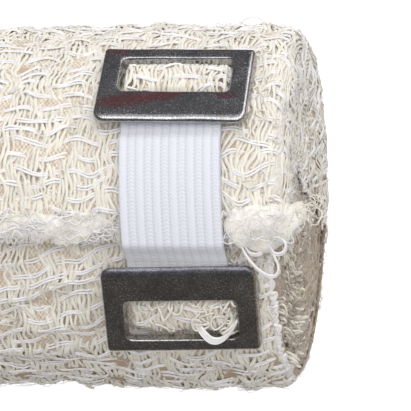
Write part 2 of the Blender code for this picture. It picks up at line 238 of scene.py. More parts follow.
def edge_angle(x):
    """Where the cut edge is, at each place along it."""
    return np.interp(x, CUT_EDGE[:, 0] * MM, CUT_EDGE[:, 1])


def near_clip(x, angle):
    """1 under the clip, where the cloth is pressed smooth, and 0 away from it."""
    middle = BAND_X_AT_TOP + BAND_LEAN * (BAND_TOP_ANGLE - angle)
    across = 1 - smooth((abs(x - middle) - PLATE_WIDTH / 2 - MM) / CLIP_HOLD_FADE)
    around = 1 - smooth((abs(angle - CLIP_MIDDLE_ANGLE) - CLIP_HALF_SPAN) / CLIP_FADE_ANGLE)
    return across * around


def relief(x, angle):
    """How far the cloth stands out of its plain spiral: lumps all round, and the table's folds."""
    turn = np.radians(angle)
    lumps = LUMP_RISE * (np.sin(3 * turn + 90 * x) + 0.8 * np.sin(5 * turn - 210 * x + 1))
    folds = 0
    for fold in FOLDS:
        off = (angle - fold.angle + 180) % 360 - 180 - fold.slant * (x - fold.x)
        along = hump((x - fold.x) / fold.half_length)
        folds = folds + fold.rise * along * hump(off / fold.half_width)
    return (lumps + folds) * (1 - near_clip(x, angle))


def pressed(x, angle, radius):
    """The radius kept under the foot of each plate's walls."""
    for plate in PLATES.values():
        middle, along, across, normal = axes_of(plate)
        turn = np.radians(angle)
        way = -np.cos(turn) * normal[1] + np.sin(turn) * normal[2]
        axis_point = np.array([0, 0, AXIS_HEIGHT])
        reach = np.dot(middle - axis_point, normal) - PLATE_DEPTH - GAP - x * normal[0]
        limit = np.where(way > 0.5, reach / np.maximum(way, 0.5), 1.0)
        spot = place(x, angle, radius) - middle
        beside = np.maximum(
            abs(spot @ along) - PLATE_WIDTH / 2, abs(spot @ across) - PLATE_HEIGHT / 2
        )
        hold = 1 - smooth((beside - PRESS_MARGIN) / PRESS_FADE)
        radius = radius - hold * np.maximum(radius - limit, 0)
    return radius


def cloth_radius(x, angle):
    """The outside of the cloth, whichever layer is outermost there."""
    return pressed(x, angle, turn_radius(angle) + relief(x, angle))


def lower_layer_radius(x, angle):
    """The outside of the layer under the loose end, also past the loose end's edge."""
    covered = pressed(x, angle, turn_radius(angle) + relief(x, angle)) - TURN_THICKNESS - GAP
    bare = pressed(x, angle + 360, turn_radius(angle + 360) + relief(x, angle))
    return bare + (covered - bare) * smooth((angle - edge_angle(x) + 5) / 3)


def roll_radius(x, angle):
    """The wound body: the outermost turn itself where the loose end's sheet doesn't cover it."""
    bare_turn = cloth_radius(x, angle + 360)
    under_sheet = lower_layer_radius(x, angle)
    back = smooth((CUT_EDGE_ANGLE - 30 - angle) / 20)
    return under_sheet + (bare_turn - under_sheet) * back


def sideways(angle):
    """How far the outermost turn has crept towards +X: most at the cut edge, none a turn later."""
    return TURN_DRIFT * (1 - np.clip((angle - CUT_EDGE_ANGLE) / 360, 0, 1))


def loose_end_radius(x, angle):
    """The outside of the loose end: the cloth, its swollen cut edge and its lifted corner."""
    past_edge = angle - edge_angle(x)
    puff = EDGE_PUFF * hump((past_edge - 3) / EDGE_PUFF_ANGLE) * (1 - near_clip(x, angle))
    corner = smooth(1 - (HALF_WIDTH + TURN_DRIFT - x) / CORNER_LIFT_RUN)
    lift = CORNER_LIFT * corner * smooth(1 - past_edge / CORNER_LIFT_ANGLE)
    return cloth_radius(x, angle) + puff + lift


# Where the loose fluffy cloth stands a little proud: middle and half width in degrees, and rise.
SWELLS = ((322, 26, 0.50 * MM), (139, 24, 0.28 * MM))


def layer_radius(x, angle):
    """The outside of the bandage along its own length: the loose end, then the outermost turn."""
    x, angle = np.broadcast_arrays(x, angle)
    on_loose_end = angle < LOOSE_END_TO
    swell = sum(rise * hump((angle - middle) / width) for middle, width, rise in SWELLS)
    return np.where(on_loose_end, loose_end_radius(x, angle), roll_radius(x, angle - 360)) + swell


def rim_drop(x):
    """How far the ground cloth sinks towards its two selvedges, in a quarter circle."""
    inside = np.clip((HALF_WIDTH - abs(x)) / SHOULDER, 0, 1)
    return SHOULDER * (1 - np.sqrt(1 - (1 - inside) ** 2))


def over_rim(across):
    """A place on the cloth's width carried over the rim.

    It returns its x, how far it sinks, how far the cloth has turned and its share of the folded
    part.
    """
    straight = HALF_WIDTH - SHOULDER
    past = np.maximum(abs(across) - straight, 0)
    turn = np.minimum(past / SHOULDER, np.pi / 2)
    flat = np.maximum(past - SHOULDER * np.pi / 2, 0)
    x = np.minimum(abs(across), straight) + SHOULDER * np.sin(turn) - FOLD_LEAN * flat
    side = np.sign(across)
    return side * x, SHOULDER * (1 - np.cos(turn)) + flat, side * turn, flat / FOLD_OVER


def selvedge(angle, side):
    """How far from its middle the outermost turn's cloth ends, with what is folded over at +X."""
    folded = 1 - smooth((angle - FOLD_END[0]) / (FOLD_END[1] - FOLD_END[0]))
    return HALF_WIDTH + (side > 0) * folded * (FOLD_OVER + SHOULDER * (np.pi / 2 - 1))


def in_windows(x, angle):
    """How far the cloth bulges up into the windows of the plates: a soft-edged pillow in each."""
    bulge = 0
    for name, plate in PLATES.items():
        middle, along, across, _ = axes_of(plate)
        turned = (angle + 180) % 360 - 180
        spot = place(x, turned, plate.reach) - middle
        window = PLATE_HEIGHT / 2 - WINDOW_MARGIN - WINDOW_HEIGHT / 2
        beside = 1 - abs(spot @ along) / (WINDOW_WIDTH / 2)
        above = 1 - abs(spot @ across - window) / (WINDOW_HEIGHT / 2)
        near = abs(turned - plate.angle) < 40
        bulge = bulge + WINDOW_BULGE[name] * smooth(beside / 0.16) * smooth(above / 0.34) * near
    return bulge


def on_cloth(across, angle, height, floor=0.0):
    """Points at a height over the outside of the outermost turn, across it from its middle."""
    x, drop, turn, inwards = over_rim(across)
    x = x + sideways(angle) * (1 - 0.75 * smooth(inwards))
    radius = layer_radius(x, angle) - drop + in_windows(x, angle)
    free = 1 - near_clip(x, (angle + 180) % 360 - 180)
    lift = height + SCALLOP * ripple(51, 5.5 * MM, across, arc(angle)) * free
    return place(x + lift * np.sin(turn), angle, radius + lift * np.cos(turn), floor)


def out_of_cloth(across, angle):
    """Unit vectors straight out of the cloth, also where it turns over the rim."""
    turn = over_rim(across)[2][..., None]
    return np.cos(turn) * outwards_at(angle) + np.sin(turn) * np.array([1.0, 0, 0])


# ---------------------------------------------------------------- meshes


def put_mesh(name, points, rings, uv=None, values=None):
    """A mesh object from points and arrays of faces, each array with one number of corners."""
    mesh = bpy.data.meshes.new(name)
    mesh.vertices.add(len(points))
    mesh.vertices.foreach_set("co", np.ascontiguousarray(points, dtype=np.float32).ravel())
    corners = np.concatenate([ring.ravel() for ring in rings]).astype(np.int32)
    counts = np.concatenate([np.full(len(ring), ring.shape[1]) for ring in rings])
    starts = np.concatenate([[0], np.cumsum(counts)[:-1]]).astype(np.int32)
    mesh.loops.add(len(corners))
    mesh.loops.foreach_set("vertex_index", corners)
    mesh.polygons.add(len(counts))
    mesh.polygons.foreach_set("loop_start", starts)
    if uv is not None:
        layer = mesh.uv_layers.new(name="cloth")
        layer.data.foreach_set("uv", np.ascontiguousarray(uv, dtype=np.float32).ravel())
    for label, numbers in (values or {}).items():
        attribute = mesh.attributes.new(label, "FLOAT", "POINT")
        attribute.data.foreach_set("value", np.ascontiguousarray(numbers, dtype=np.float32).ravel())
    mesh.update(calc_edges=True)
    mesh.shade_smooth()
    made = bpy.data.objects.new(name, mesh)
    bpy.context.scene.collection.objects.link(made)
    return made


def finish_piece(made, material):
    """Gives a piece its material and the body that it goes with."""
    made.data.materials.clear()
    made.data.materials.append(material)
    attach(made, "root")
    return made


def band_faces(first, second):
    """Quads between rings of numbered points and the rings that follow them."""
    return np.stack([first, second, np.roll(second, -1, -1), np.roll(first, -1, -1)], axis=-1)


def band_uv(run, width, shape):
    """The UV of such quads, given their shape: run from ring to ring, a width once round each."""
    low = np.broadcast_to(run[..., :-1, None], shape)
    high = np.broadcast_to(run[..., 1:, None], shape)
    side = np.broadcast_to(width * np.arange(shape[-1]) / shape[-1], shape)
    other = side + width / shape[-1]
    u, v = np.stack([low, high, high, low], axis=-1), np.stack([side, side, other, other], axis=-1)
    return np.stack([u, v], axis=-1)


def facing_in(points, quads):
    """Whether the quads of a closed body face into it, which makes its signed volume negative."""
    corners = points[quads]
    fans = np.concatenate([corners[:, [0, 1, 2]], corners[:, [0, 2, 3]]])
    return np.linalg.det(fans).sum() < 0


def tubes(centres, radius, reference, sides, shade, depth=1.0, squash=1.0):
    """Round or flattened tubes along many paths at once.

    centres is paths x stations x 3. Each station carries an ellipse across its path, in the plane
    of two vectors: one square to the path and the reference vector, and one square to that and the
    path, along which squash makes it flatter. The end rings are drawn in and closed.
    """
    paths, stations = centres.shape[:2]
    tangent = np.gradient(centres, axis=1)
    tangent /= np.linalg.norm(tangent, axis=-1, keepdims=True) + 1e-12
    across = np.cross(tangent, reference)
    across /= np.linalg.norm(across, axis=-1, keepdims=True) + 1e-12
    lift = squash * np.cross(across, tangent)[:, :, None]
    radius = np.broadcast_to(radius, (paths, stations)).copy()
    radius[:, [0, -1]] *= 0.45
    turn = (2 * np.pi * np.arange(sides) / sides)[:, None]
    circle = np.cos(turn) * across[:, :, None] + np.sin(turn) * lift
    points = centres[:, :, None] + radius[..., None, None] * circle
    number = np.arange(paths * stations * sides).reshape(paths, stations, sides)
    quads = band_faces(number[:, :-1], number[:, 1:])
    step = np.linalg.norm(np.diff(centres, axis=1), axis=-1)
    run = np.concatenate([np.zeros((paths, 1)), np.cumsum(step, axis=1)], axis=1) / MM
    depth = np.broadcast_to(depth, (paths, stations))[..., None]
    return {
        "points": points.reshape(-1, 3),
        "quads": quads.reshape(-1, 4),
        "caps": np.concatenate([number[:, 0], number[:, -1, ::-1]]),
        "quad_uv": band_uv(run, 1.0, quads.shape[:3]).reshape(-1, 2),
        "shade": np.broadcast_to(np.reshape(shade, (-1, 1, 1)), number.shape).ravel(),
        "depth": np.broadcast_to(depth, number.shape).ravel(),
    }


def strands(name, groups, material):
    """One object from several groups of tubes."""
    offset = 0
    quads, caps = [], []
    for group in groups:
        quads.append(group["quads"] + offset)
        caps.append(group["caps"] + offset)
        offset += len(group["points"])
    cap_uv = [np.zeros((ring.size, 2)) for ring in caps]
    made = put_mesh(
        name,
        np.concatenate([group["points"] for group in groups]),
        [np.concatenate(quads)] + caps,
        np.concatenate([group["quad_uv"] for group in groups] + cap_uv),
        {label: np.concatenate([group[label] for group in groups]) for label in ("shade", "depth")},
    )
    return finish_piece(made, material)


def slab(name, outer, inner, u, v, material):
    """A closed sheet between two grids of points: both faces, and the strips round its edge."""
    rings = np.concatenate([outer, inner[:, ::-1]], axis=1)
    count, length = rings.shape[:2]
    half = length // 2
    number = np.arange(count * length).reshape(count, length)
    sides = band_faces(number[:-1], number[1:])
    low, high = number[0, :half], number[0, half:][::-1]
    start = np.stack([low[:-1], low[1:], high[1:], high[:-1]], axis=-1)
    low, high = number[-1, :half], number[-1, half:][::-1]
    end = np.stack([low[1:], low[:-1], high[:-1], high[1:]], axis=-1)
    faces = np.concatenate([sides.reshape(-1, 4), start, end])
    points = rings.reshape(-1, 3)
    if facing_in(points, faces):
        faces = faces[:, ::-1]
    flat_u = np.concatenate([u, u[:, ::-1]], axis=1).ravel()
    flat_v = np.concatenate([v, v[:, ::-1]], axis=1).ravel()
    uv = np.stack([flat_u[faces], flat_v[faces]], axis=-1).reshape(-1, 2) / MM
    return finish_piece(put_mesh(name, points, [faces], uv), material)


def columns(rng, count):
    """A way to draw a column of random numbers between two limits."""
    return lambda low, high: rng.uniform(low, high, count)[:, None]


def swung(ahead, beside, way, across=0.0, run=0.0):
    """A place reached from another by going ahead in a direction, and beside it."""
    across = across + ahead * np.cos(way) - beside * np.sin(way)
    return across, run + ahead * np.sin(way) + beside * np.cos(way)


def ripple(seed, wavelength, x, y):
    """An uneven field of about -1 to 1: seven plane waves of random direction, length and phase."""
    rng = np.random.default_rng(seed)
    total = 0
    for _ in range(7):
        way = rng.uniform(0, 2 * np.pi)
        length = wavelength * rng.uniform(0.7, 1.4)
        phase = rng.uniform(0, 2 * np.pi)
        total = total + np.sin(2 * np.pi / length * (x * np.cos(way) + y * np.sin(way)) + phase)
    return total / 2.6


def uneven(height, seed, wavelength, x, y):
    """Such a field whose height and wavelength are given in millimetres."""
    return height * MM * ripple(seed, wavelength * MM, x, y)


# ---------------------------------------------------------------- materials


# The colour of the painted dull red reflections on the upper plate
REFLECTED_RED = (0.62, 0.16, 0.17)
Patch = collections.namedtuple("Patch", "along up half_length half_width turn strength")
# Patches of painted dull red reflection on the upper plate, in its own UV: millimetres and degrees
UPPER_REFLECTED_RED = (
    Patch(-5.8, -3.1, 4.0, 1.3, 6, 0.6),
    Patch(-1.3, -2.2, 3.0, 0.9, 9, 0.6),
    Patch(-8.0, 5.7, 2.0, 0.7, 0, 0.5),
    Patch(6.8, -2.0, 1.6, 0.6, 0, 0.5),
)
LOWER_DULL_FROM = 5.1  # the lower plate is dull above this height in its UV, where it bends back
# Painted shade on the lower plate where it bends back: a dark colour with light specks
LIP_SHADE_DARK = (0.13, 0.13, 0.16)
LIP_SHADE_LIGHT = (0.60, 0.60, 0.66)
# Painted shade and light on the end faces: browner and darker low at the front, paler high at the
# back, as light from above falls on them
END_SHADE_LOW = (0.60, 0.505, 0.415)  # the end faces: brown low down at the front
END_LIT_HIGH = (0.90, 0.88, 0.84)  # and pale high up at the back
END_SLOPE = (0.766, 0.643)  # the way, in Y and Z, in which the end faces get paler
END_SPAN = (-4 * MM, 4 * MM)  # where along that way, from the roll's axis
# The end colour is multiplied by these, darkest and palest
END_STREAKS = ((0.62, 0.60, 0.58), (1.15, 1.15, 1.15))
# The end colour comes in between these distances from the middle
END_FACE_FROM = (28.3 * MM, 29.6 * MM)
# Painted shade: the ground's gaps turn this brown low on the roll, which faces away from the light
LOW_PAINTED_SHADE = (0.48, 0.36, 0.26)  # the ground's gaps low on the roll
LOW_FROM = (15 * MM, 27 * MM)
STITCH_PITCH = 0.44 * MM
STITCH_POINT = 1.1  # how far a stitch is pushed on at the side of its rib, in stitches
THREAD_PITCH = 0.44 * MM
THREAD_SLANT = 1.5  # threads that a rib's width crosses


def socket(group, name, kind, way, value=None):
    """One socket of a shader node group."""
    made = group.interface.new_socket(name=name, in_out=way, socket_type=kind)
    if value is not None:
        made.default_value = value
    return made


class Nodes:
    """Short ways to add and join shader nodes in one tree."""

    def __init__(self, tree):
        self.tree = tree

    def add(self, kind, **settings):
        node = self.tree.nodes.new(kind)
        for key, value in settings.items():
            setattr(node, key, value)
        return node

    def feed(self, target, value):
        if isinstance(value, bpy.types.NodeSocket):
            self.tree.links.new(value, target)
        elif value is not None:
            target.default_value = value

    def math(self, operation, first, second=None, third=None):
        node = self.add("ShaderNodeMath", operation=operation)
        for target, value in zip(node.inputs, (first, second, third)):
            self.feed(target, value)
        return node.outputs[0]

    def times(self, first, second):
        return self.math("MULTIPLY", first, second)

    def line(self, value, slope, start):
        return self.math("MULTIPLY_ADD", value, slope, start)

    def vector(self, operation, first, second=None):
        node = self.add("ShaderNodeVectorMath", operation=operation)
        self.feed(node.inputs[0], first)
        self.feed(node.inputs[1], second)
        return node.outputs

    def wave(self, value, length=1.0):
        return self.math("SINE", self.times(value, 2 * math.pi / length))

    def mix(self, share, first, second, blend="MIX"):
        node = self.add("ShaderNodeMix", data_type="RGBA", blend_type=blend)
        for target, value in ((0, share), (6, first), (7, second)):
            given = isinstance(value, (float, bpy.types.NodeSocket))
            self.feed(node.inputs[target], value if given else (*value, 1))
        return node.outputs[2]

    def noise(self, vector, scale, detail=2.0, roughness=0.5):
        node = self.add("ShaderNodeTexNoise")
        self.feed(node.inputs["Vector"], vector)
        node.inputs["Scale"].default_value = scale
        node.inputs["Detail"].default_value = detail
        node.inputs["Roughness"].default_value = roughness
        return node.outputs["Fac"]

    def spread(self, value, low, high, to_low=0.0, to_high=1.0):
        node = self.add("ShaderNodeMapRange", clamp=True)
        self.feed(node.inputs["Value"], value)
        ends = {"From Min": low, "From Max": high, "To Min": to_low, "To Max": to_high}
        for name, number in ends.items():
            node.inputs[name].default_value = number
        return node.outputs["Result"]

    def parts(self, vector):
        node = self.add("ShaderNodeSeparateXYZ")
        self.feed(node.inputs[0], vector)
        return node.outputs

    def grey(self, value):
        node = self.add("ShaderNodeCombineColor")
        for entry in node.inputs:
            self.feed(entry, value)
        return node.outputs[0]

    def stretched(self, vector, scale, turn=0.0):
        node = self.add("ShaderNodeMapping")
        self.feed(node.inputs["Vector"], vector)
        node.inputs["Rotation"].default_value = (0, 0, turn)
        node.inputs["Scale"].default_value = (scale, 1.0, 1.0)
        return node.outputs[0]

    def uv(self):
        return self.add("ShaderNodeUVMap", uv_map="cloth").outputs[0]

    def spot(self):
        return self.add("ShaderNodeTexCoord").outputs["Object"]

    def value(self, name):
        return self.add("ShaderNodeAttribute", attribute_name=name).outputs["Fac"]


def new_material(name):
    """An empty node material with its shader, and short ways to its nodes."""
    material = bpy.data.materials.new(name)
    material.use_nodes = True
    return material, Nodes(material.node_tree), material.node_tree.nodes["Principled BSDF"]


def set_surface(nodes, shader, colour, height, strength, depth, numbers):
    """Joins a colour and a bump to a shader, and sets the numbers that are the same all over it."""
    bump = nodes.add("ShaderNodeBump")
    bump.inputs["Strength"].default_value = strength
    bump.inputs["Distance"].default_value = depth
    nodes.feed(bump.inputs["Height"], height)
    nodes.feed(shader.inputs["Base Color"], colour)
    nodes.feed(shader.inputs["Normal"], bump.outputs[0])
    for name, number in numbers.items():
        shader.inputs[name].default_value = number


def yarn_group():
    """Colour and relief of a twisted, hairy yarn.

    The twist is a sine of the distance along the yarn plus the turn round it. The colour goes from
    the deep one to the light one with the piece's depth value and the twist, so the deep one is
    painted shade where a yarn lies low and in its twist's grooves. Every yarn has its own shade.
    """
    if "Twisted yarn" in bpy.data.node_groups:
        return bpy.data.node_groups["Twisted yarn"]
    group = bpy.data.node_groups.new("Twisted yarn", "ShaderNodeTree")
    socket(group, "Light", "NodeSocketColor", "INPUT", (0.9, 0.85, 0.7, 1))
    socket(group, "Deep", "NodeSocketColor", "INPUT", (0.6, 0.45, 0.3, 1))
    socket(group, "Twists per mm", "NodeSocketFloat", "INPUT", 1.2)
    socket(group, "Colour", "NodeSocketColor", "OUTPUT")
    socket(group, "Height", "NodeSocketFloat", "OUTPUT")
    nodes = Nodes(group)
    given = nodes.add("NodeGroupInput").outputs
    along, round_it, _ = nodes.parts(nodes.uv())
    spot = nodes.spot()
    phase = nodes.line(along, given["Twists per mm"], round_it)
    twist = nodes.line(nodes.wave(phase), 0.5, 0.5)
    hairs = nodes.noise(spot, 7000.0, 2.0)
    mottle = nodes.noise(spot, 900.0, 3.0)
    raised = nodes.math("ADD", nodes.value("depth"), nodes.times(twist, 0.12))
    colour = nodes.mix(nodes.spread(raised, 0.1, 0.95), given["Deep"], given["Light"])
    tone = nodes.line(mottle, 0.16, 0.88)
    tone = nodes.line(nodes.value("shade"), 0.08, tone)
    tone = nodes.line(hairs, 0.16, nodes.math("SUBTRACT", tone, 0.08))
    grey = nodes.grey(nodes.math("MINIMUM", tone, 1.04))
    height = nodes.line(hairs, 1.6, nodes.times(twist, 0.5))
    out = nodes.add("NodeGroupOutput").inputs
    nodes.feed(out["Colour"], nodes.mix(1.0, colour, grey, "MULTIPLY"))
    nodes.feed(out["Height"], height)
    return group


def yarn_material(name, light, deep, twists, rise, sheen):
    """Matt spun yarn with its twist as a bump."""
    if name in bpy.data.materials:
        return bpy.data.materials[name]
    material, nodes, shader = new_material(name)
    yarn = nodes.add("ShaderNodeGroup", node_tree=yarn_group())
    yarn.inputs["Light"].default_value = (*light, 1)
    yarn.inputs["Deep"].default_value = (*deep, 1)
    yarn.inputs["Twists per mm"].default_value = twists
    numbers = {"Roughness": 0.85, "Specular IOR Level": 0.2}
    numbers.update({"Sheen Weight": sheen, "Sheen Roughness": 0.5})
    colour, height = yarn.outputs["Colour"], yarn.outputs["Height"]
    set_surface(nodes, shader, colour, height, 0.45, rise, numbers)
    return material


def fluff_material(name, white, cream):
    """Teased cotton: streaks of white and cream, and a relief of fine hairs in three directions."""
    material, nodes, shader = new_material(name)
    uv = nodes.uv()
    height = tone = 0.0
    for turn, stretch in ((0.35, 0.22), (-0.5, 0.3), (1.2, 0.4)):
        way = nodes.stretched(uv, stretch, turn)
        height = nodes.line(nodes.noise(way, 13.0, 2.0, 0.6), 0.7, height)
        tone = nodes.line(nodes.noise(way, 1.6, 3.0, 0.6), 0.34, tone)
    colour = nodes.mix(nodes.spread(tone, 0.46, 0.66), cream, white)
    # Painted shade: darker where the hairs' relief is low
    grey = nodes.grey(nodes.spread(height, 0.80, 1.25, 0.90, 1.0))
    shaded = nodes.mix(1.0, colour, grey, "MULTIPLY")
    numbers = {"Roughness": 0.95, "Sheen Weight": 0.2, "Specular IOR Level": 0.1}
    set_surface(nodes, shader, shaded, height, 0.6, 0.08 * MM, numbers)
    return material


def ground_material(name, light, deep, shaded_ends=True):
    """The ground of the cloth, seen in the gaps between yarns: crossed threads in its own UV, and
    patches of the deep colour that paint the shade of the layers below.
    """
    material, nodes, shader = new_material(name)
    across, along, _ = nodes.parts(nodes.uv())
    spot = nodes.spot()
    x, y, z = nodes.parts(spot)
    rough = nodes.noise(spot, 1800.0, 3.0)
    crossed = nodes.times(nodes.wave(across, 0.55), nodes.wave(along, 0.8))
    threads = nodes.line(crossed, 0.25, rough)
    thin = nodes.spread(nodes.noise(spot, 420.0, 2.0), 0.31, 0.42)
    share = nodes.times(nodes.spread(threads, 0.25, 0.75), thin)
    # Lower on the roll the colour turns towards the painted shade
    low = nodes.spread(z, *LOW_FROM, 0.85, 0.0)
    colour = nodes.mix(low, nodes.mix(share, deep, light), LOW_PAINTED_SHADE)
    # At the end faces the colour runs from painted shade low at the front to painted light high at
    # the back
    if shaded_ends:
        raised = nodes.times(nodes.math("SUBTRACT", z, AXIS_HEIGHT), END_SLOPE[1])
        raised = nodes.line(y, END_SLOPE[0], raised)
        shade = nodes.mix(nodes.spread(raised, *END_SPAN), END_SHADE_LOW, END_LIT_HIGH)
        end_colour = nodes.mix(1.0, shade, nodes.mix(rough, *END_STREAKS), "MULTIPLY")
        at_end = nodes.spread(nodes.math("ABSOLUTE", x), *END_FACE_FROM)
        colour = nodes.mix(at_end, colour, end_colour)
    numbers = {"Roughness": 0.95, "Specular IOR Level": 0.1}
    set_surface(nodes, shader, colour, threads, 0.8, 0.15 * MM, numbers)
    return material


def metal_group():
    """Grain of a rubbed stamped sheet: fine bright specks in a dark ground, thicker in clouds."""
    if "Stamped sheet" in bpy.data.node_groups:
        return bpy.data.node_groups["Stamped sheet"]
    group = bpy.data.node_groups.new("Stamped sheet", "ShaderNodeTree")
    socket(group, "Grain", "NodeSocketFloat", "INPUT", 0.5)
    for name in ("Roughness", "Height", "Speck"):
        socket(group, name, "NodeSocketFloat", "OUTPUT")
    nodes = Nodes(group)
    given = nodes.add("NodeGroupInput").outputs
    spot = nodes.spot()
    grain = nodes.times(nodes.noise(spot, 8500.0, 1.0, 0.6), 0.95)
    streaks = nodes.noise(nodes.stretched(spot, 0.25), 9000.0, 2.0)
    mixed = nodes.line(streaks, 0.25, grain)
    cloudy = nodes.line(nodes.noise(spot, 380.0, 3.0), 0.22, mixed)
    speck = nodes.spread(cloudy, 0.60, 0.98)
    out = nodes.add("NodeGroupOutput").inputs
    nodes.feed(out["Roughness"], nodes.line(speck, 0.22, 0.10))
    nodes.feed(out["Height"], mixed)
    nodes.feed(out["Speck"], nodes.times(speck, given["Grain"]))
    return group


def metal_material(name, colour, worn, grain, reflected_red=(), dull_from=None):
    """Dark bright sheet with a fine grain, and patches of painted dull red reflection where the
    given list names them.

    Each patch is an ellipse in the plate's own UV, and noise breaks up its rim.
    """
    material, nodes, shader = new_material(name)
    sheet = nodes.add("ShaderNodeGroup", node_tree=metal_group())
    sheet.inputs["Grain"].default_value = grain
    speck, rough = sheet.outputs["Speck"], sheet.outputs["Roughness"]
    tone = nodes.mix(speck, colour, worn)
    uv = nodes.uv()
    ragged = nodes.times(nodes.noise(nodes.spot(), 900.0, 3.0), 0.8)
    # Each patch mixes a painted dull red reflection into the metal's colour
    for patch in reflected_red:
        turned = nodes.add("ShaderNodeVectorRotate", rotation_type="Z_AXIS")
        turned.inputs["Angle"].default_value = -math.radians(patch.turn)
        moved = nodes.vector("SUBTRACT", uv, (patch.along, patch.up, 0))[0]
        nodes.feed(turned.inputs["Vector"], moved)
        shrink = (1 / patch.half_length, 1 / patch.half_width, 0)
        scaled = nodes.vector("MULTIPLY", turned.outputs[0], shrink)[0]
        away = nodes.math("ADD", nodes.vector("LENGTH", scaled)["Value"], ragged)
        tone = nodes.mix(nodes.spread(away, 1.0, 1.55, patch.strength, 0.0), tone, REFLECTED_RED)
    if dull_from is not None:
        # Above dull_from the sheet is rougher, and painted shade darkens its colour
        dull = nodes.spread(nodes.parts(uv)[1], dull_from, dull_from + 0.5)
        tone = nodes.mix(dull, tone, nodes.mix(speck, LIP_SHADE_DARK, LIP_SHADE_LIGHT))
        rough = nodes.math("MAXIMUM", rough, nodes.times(dull, 0.5))
    nodes.feed(shader.inputs["Roughness"], rough)
    height = sheet.outputs["Height"]
    set_surface(nodes, shader, tone, height, 0.35, 0.012 * MM, {"Metallic": 1.0})
    return material


def elastic_material(name, light, deep):
    """White covered elastic, whose UV counts ribs across it: slanted threads, or chain stitches.

    A stitch is a sine of the distance along the band, pushed on towards both sides of its rib, so
    that it points like a chevron. A thread is a sine of that distance and of the place across
    together.
    """
    material, nodes, shader = new_material(name)
    across, along, _ = nodes.parts(nodes.uv())
    mottle = nodes.noise(nodes.spot(), 2600.0, 3.0)
    from_middle = nodes.math("SUBTRACT", nodes.math("FRACT", across), 0.5)
    from_middle = nodes.math("ABSOLUTE", from_middle)
    in_pair = nodes.math("FRACT", nodes.times(across, 0.5))
    ending = nodes.spread(in_pair, 0.97, 1.0, 1.0, 0.0)
    stitched = nodes.times(nodes.spread(in_pair, 0.50, 0.53), ending)
    stitches = nodes.math("DIVIDE", along, STITCH_PITCH / MM)
    pushed = nodes.line(from_middle, STITCH_POINT, stitches)
    chain = nodes.times(nodes.wave(pushed), stitched)
    threads = nodes.math("DIVIDE", along, THREAD_PITCH / MM)
    slanted = nodes.line(across, THREAD_SLANT, threads)
    plain = nodes.math("SUBTRACT", 1.0, stitched)
    fine = nodes.times(nodes.wave(slanted), plain)
    height = nodes.line(fine, 0.6, chain)
    height = nodes.line(mottle, 1.2, height)
    # Painted shade: darker towards each rib's edges, and in the low parts of its stitches and
    # threads
    valley = nodes.spread(from_middle, 0.30, 0.50, 1.0, 0.25)
    tone = nodes.line(mottle, 0.5, valley)
    tone = nodes.line(chain, 0.22, tone)
    tone = nodes.line(fine, 0.20, tone)
    tone = nodes.math("SUBTRACT", tone, nodes.times(stitched, 0.22))
    colour = nodes.mix(nodes.spread(tone, 0.1, 1.1), deep, light)
    # Painted light: the band is paler where it bends down towards the lower plate and faces away
    # from the light
    bent = nodes.spread(along, -2.6, -0.6, 1.0, 0.0)
    colour = nodes.mix(bent, colour, nodes.mix(0.5, colour, (0.97, 0.98, 1.0)))
    numbers = {"Roughness": 0.7, "Sheen Weight": 0.15}
    set_surface(nodes, shader, colour, height, 0.5, 0.03 * MM, numbers)
    return material


# ---------------------------------------------------------------- settings


def size_setting(name, description, default):
    """A length that the panel lists."""
    return FloatProperty(name=name, description=description, default=default, unit="LENGTH")


def colour_setting(name, description, default):
    """A colour that the panel lists."""
    return FloatVectorProperty(
        name=name, description=description, default=default, subtype="COLOR", size=3
    )


class BandageSettings(bpy.types.PropertyGroup):
    """Sizes and colours of the bandage and its clip."""

    warp_pitch: size_setting("Warp pitch", "Distance between lengthwise yarns", 0.47 * MM)
    warp_radius: size_setting("Warp radius", "Radius of a lengthwise yarn", 0.255 * MM)
    weft_pitch: size_setting("Weft pitch", "Distance between crosswise rows", 1.75 * MM)
    weft_radius: size_setting("Weft radius", "Radius of a strand of a crosswise pair", 0.16 * MM)
    crinkle: size_setting("Crinkle", "Sideways waves of each lengthwise yarn", 0.22 * MM)
    fibres: IntProperty(name="Fibres", description="Number of loose fine fibres", default=1900)
    curls: IntProperty(name="Curls", description="Number of small snarls of yarn", default=60)
    cream: colour_setting("Cream yarn", "Lengthwise yarn", (0.86, 0.83, 0.75))
    # The deep colours are painted shade, for yarn that lies low in the weave
    cream_deep: colour_setting("Cream in gaps", "Lengthwise yarn that lies low", (0.84, 0.79, 0.69))
    white: colour_setting("White yarn", "Crosswise yarn", (0.92, 0.91, 0.93))
    white_deep: colour_setting("White in gaps", "Crosswise yarn that lies low", (0.86, 0.81, 0.76))
    ground: colour_setting("Ground", "Cloth under the yarns", (0.85, 0.80, 0.71))
    elastic: colour_setting("Elastic", "Clip elastic", (0.76, 0.78, 0.86))
    metal: colour_setting("Upper metal", "Upper clip plate", (0.28, 0.28, 0.28))
    # The lower plate is the same metal as the upper, given a darker colour as painted shade
    lower_metal_shaded: colour_setting("Lower metal", "Lower clip plate, seen darker", (0.20, 0.193, 0.19))


def warp_material(settings):
    return yarn_material("cream_yarn", settings.cream, settings.cream_deep, 1.1, 0.06 * MM, 0.25)


def weft_material(settings):
    return yarn_material("white_yarn", settings.white, settings.white_deep, 0.9, 0.03 * MM, 0.15)


# ---------------------------------------------------------------- the weave


